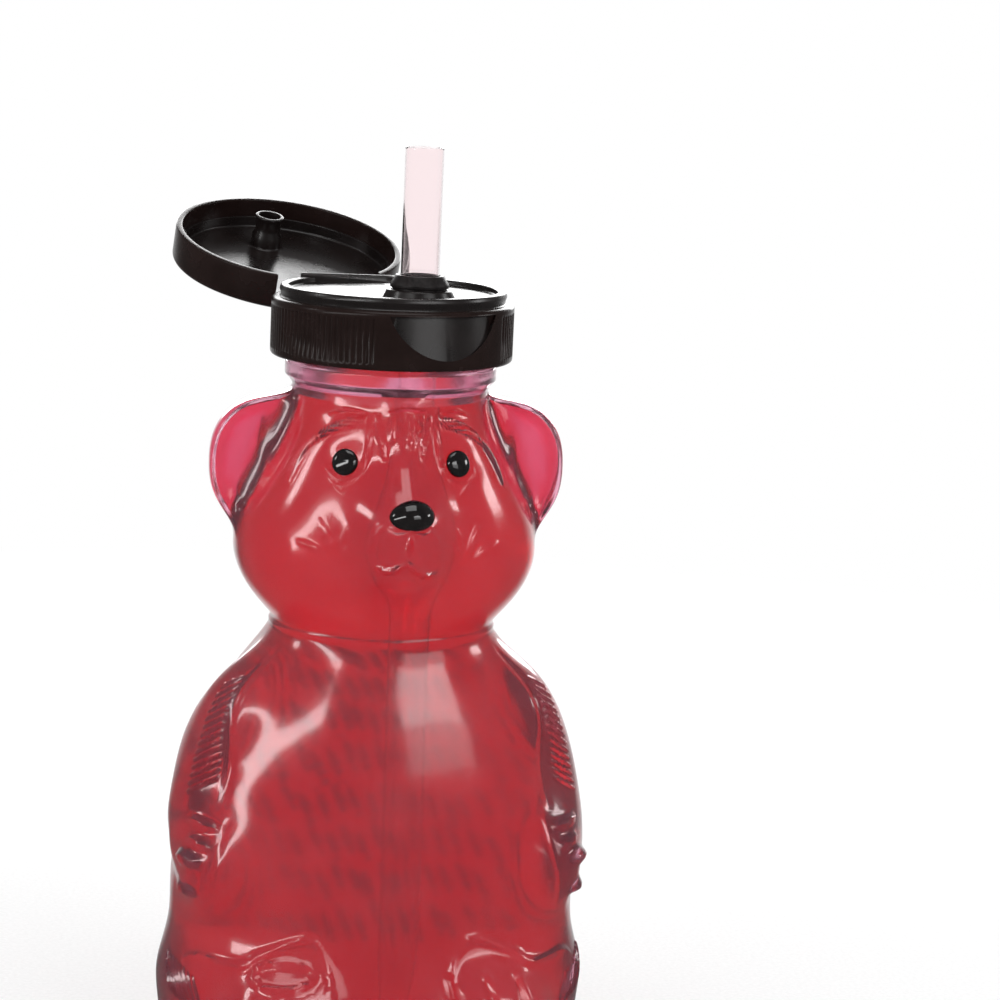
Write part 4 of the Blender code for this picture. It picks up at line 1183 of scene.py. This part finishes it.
# %% World and lamps
ROOM_LIGHT, ROOM_IN_FRONT = 0.45, 0.12
EDGE_OF_WHITE, FULL_WHITE = 0.72, 0.99
LAMP_AIM = Vector((0, 0, 0.1))


def white_behind(tree, towards):
    """White right behind the cup and dim to its sides and front, for a direction out from the cup."""
    straight_back = turned @ Vector((0, 1, 0))
    ahead = add_node(tree, "VectorMath", {0: towards, 1: straight_back}, operation="DOT_PRODUCT")
    span = {"From Min": EDGE_OF_WHITE, "From Max": FULL_WHITE, "To Min": ROOM_IN_FRONT, "To Max": 1}
    return add_node(tree, "MapRange", {"Value": ahead.outputs["Value"], **span})


world = bpy.data.worlds.new("white_room")
bpy.context.scene.world = world
world.use_nodes = True
tree = world.node_tree
rays = add_node(tree, "LightPath").outputs
place = add_node(tree, "TexCoord").outputs["Generated"]
mirrored = {"Factor": rays["Is Glossy Ray"], "A": ROOM_LIGHT, "B": white_behind(tree, place)}
lit_or_mirrored = add_node(tree, "Mix", mirrored)
seen_by = {0: rays["Is Camera Ray"], 1: rays["Is Transmission Ray"]}
seen = add_node(tree, "Math", seen_by, operation="MAXIMUM")
level = add_node(tree, "Mix", {"Factor": seen, "A": lit_or_mirrored, "B": 1})
feed(tree, tree.nodes["Background"], {"Color": "#FFFFFF", "Strength": level})


def softbox(name, place, size, watts, roll=0):
    lamp = added(bpy.ops.object.light_add, type="AREA", location=place)
    lamp.name = lamp.data.name = name
    lamp.data.shape = "RECTANGLE"
    lamp.data.size, lamp.data.size_y = size
    lamp.data.energy = watts
    towards = (LAMP_AIM - Vector(place)).to_track_quat("-Z", "Y").to_matrix()
    lamp.rotation_euler = (towards @ Matrix.Rotation(math.radians(roll), 3, "Z")).to_euler()
    lamp.visible_camera = False
    return lamp


softbox("left", (-0.69, -0.54, 0.36), (0.85, 0.10), 2, roll=28)
softbox("left_rim", (-0.85, 0.01, 0.48), (0.12, 0.14), 0.4)
softbox("right", (0.38, -0.75, 0.49), (0.50, 0.12), 0.8)
softbox("right_low", (0.41, -0.75, 0.33), (0.50, 0.20), 0.5)
softbox("right_rim", (0.85, -0.015, 0.354), (0.22, 0.11), 0.5)
softbox("above", (0, -0.25, 1), (0.7, 0.5), 2.2)
behind = softbox("behind", (0.15, 0.9, 0.42), (0.9, 0.5), 9)
behind.visible_transmission = False
print("lamps:", ", ".join(lamp.name for lamp in bpy.data.lights))

# %% [markdown]
# ## The floor
# The sweep is matt white paper. Close to the cup it is lit like anything else and keeps its shadow. Further
# off a photographer would light it on its own until it burns out, so there it gives its own white to the
# camera, more and more with distance. Seen in the cup or through it, it follows the same rule as the room.

# %% Floor
FLOOR_SIZE, PAPER_NEAR, PAPER_FAR, PAPER_GLOW = 6, 0.08, 0.5, 0.15
fibres, whites = (0.8 * MM, 2), {0.3: "#ECECEC", 0.7: "#F4F4F4"}
paper = make_opaque("white_paper", {"Roughness": 0.9, "Specular IOR Level": 0.2}, fibres, whites)
tree = paper.node_tree
place = add_node(tree, "TexCoord").outputs["Object"]
away = add_node(tree, "VectorMath", {0: place}, operation="LENGTH").outputs["Value"]
span = {"From Min": PAPER_NEAR, "From Max": PAPER_FAR, "To Min": PAPER_GLOW, "To Max": 1}
far = add_node(tree, "MapRange", {"Value": away, **span})
rays = add_node(tree, "LightPath").outputs
burnt_out = add_node(tree, "Math", {0: rays["Is Camera Ray"], 1: far}, operation="MULTIPLY")
cup_rays = {0: rays["Is Glossy Ray"], 1: rays["Is Transmission Ray"]}
in_cup = add_node(tree, "Math", cup_rays, operation="MAXIMUM")
share = add_node(tree, "Math", {0: burnt_out, 1: in_cup}, operation="MAXIMUM")
outwards = add_node(tree, "VectorMath", {0: place}, operation="NORMALIZE")
seen_by = {0: rays["Is Camera Ray"], 1: rays["Is Transmission Ray"]}
seen = add_node(tree, "Math", seen_by, operation="MAXIMUM")
level = add_node(tree, "Mix", {"Factor": seen, "A": white_behind(tree, outwards), "B": 1})
glow = add_node(tree, "Emission", {"Color": "#FFFFFF", "Strength": level})
mixed = add_node(tree, "MixShader", {"Fac": share, 1: tree.nodes["Principled BSDF"], 2: glow})
feed(tree, tree.nodes["Material Output"], {"Surface": mixed})
floor = added(bpy.ops.mesh.primitive_plane_add, size=FLOOR_SIZE)
floor.name = floor.data.name = "floor"
floor.data.materials.append(paper)
floor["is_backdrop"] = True
bpy.context.scene.view_settings.view_transform = "Standard"
print(f"floor: {FLOOR_SIZE:.0f} m of {paper.name}")

# %% [markdown]
# ## Both sizes, and finish
# The dressed cup should fill the same box as the model it dresses. Both boxes are written down, to compare.

# %% Sizes, then finish
visual_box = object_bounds()
for name, box in (("model", cad_box), ("dressed", visual_box)):
    print(name, "box in mm:", [[round(c / MM, 2) for c in corner] for corner in box])
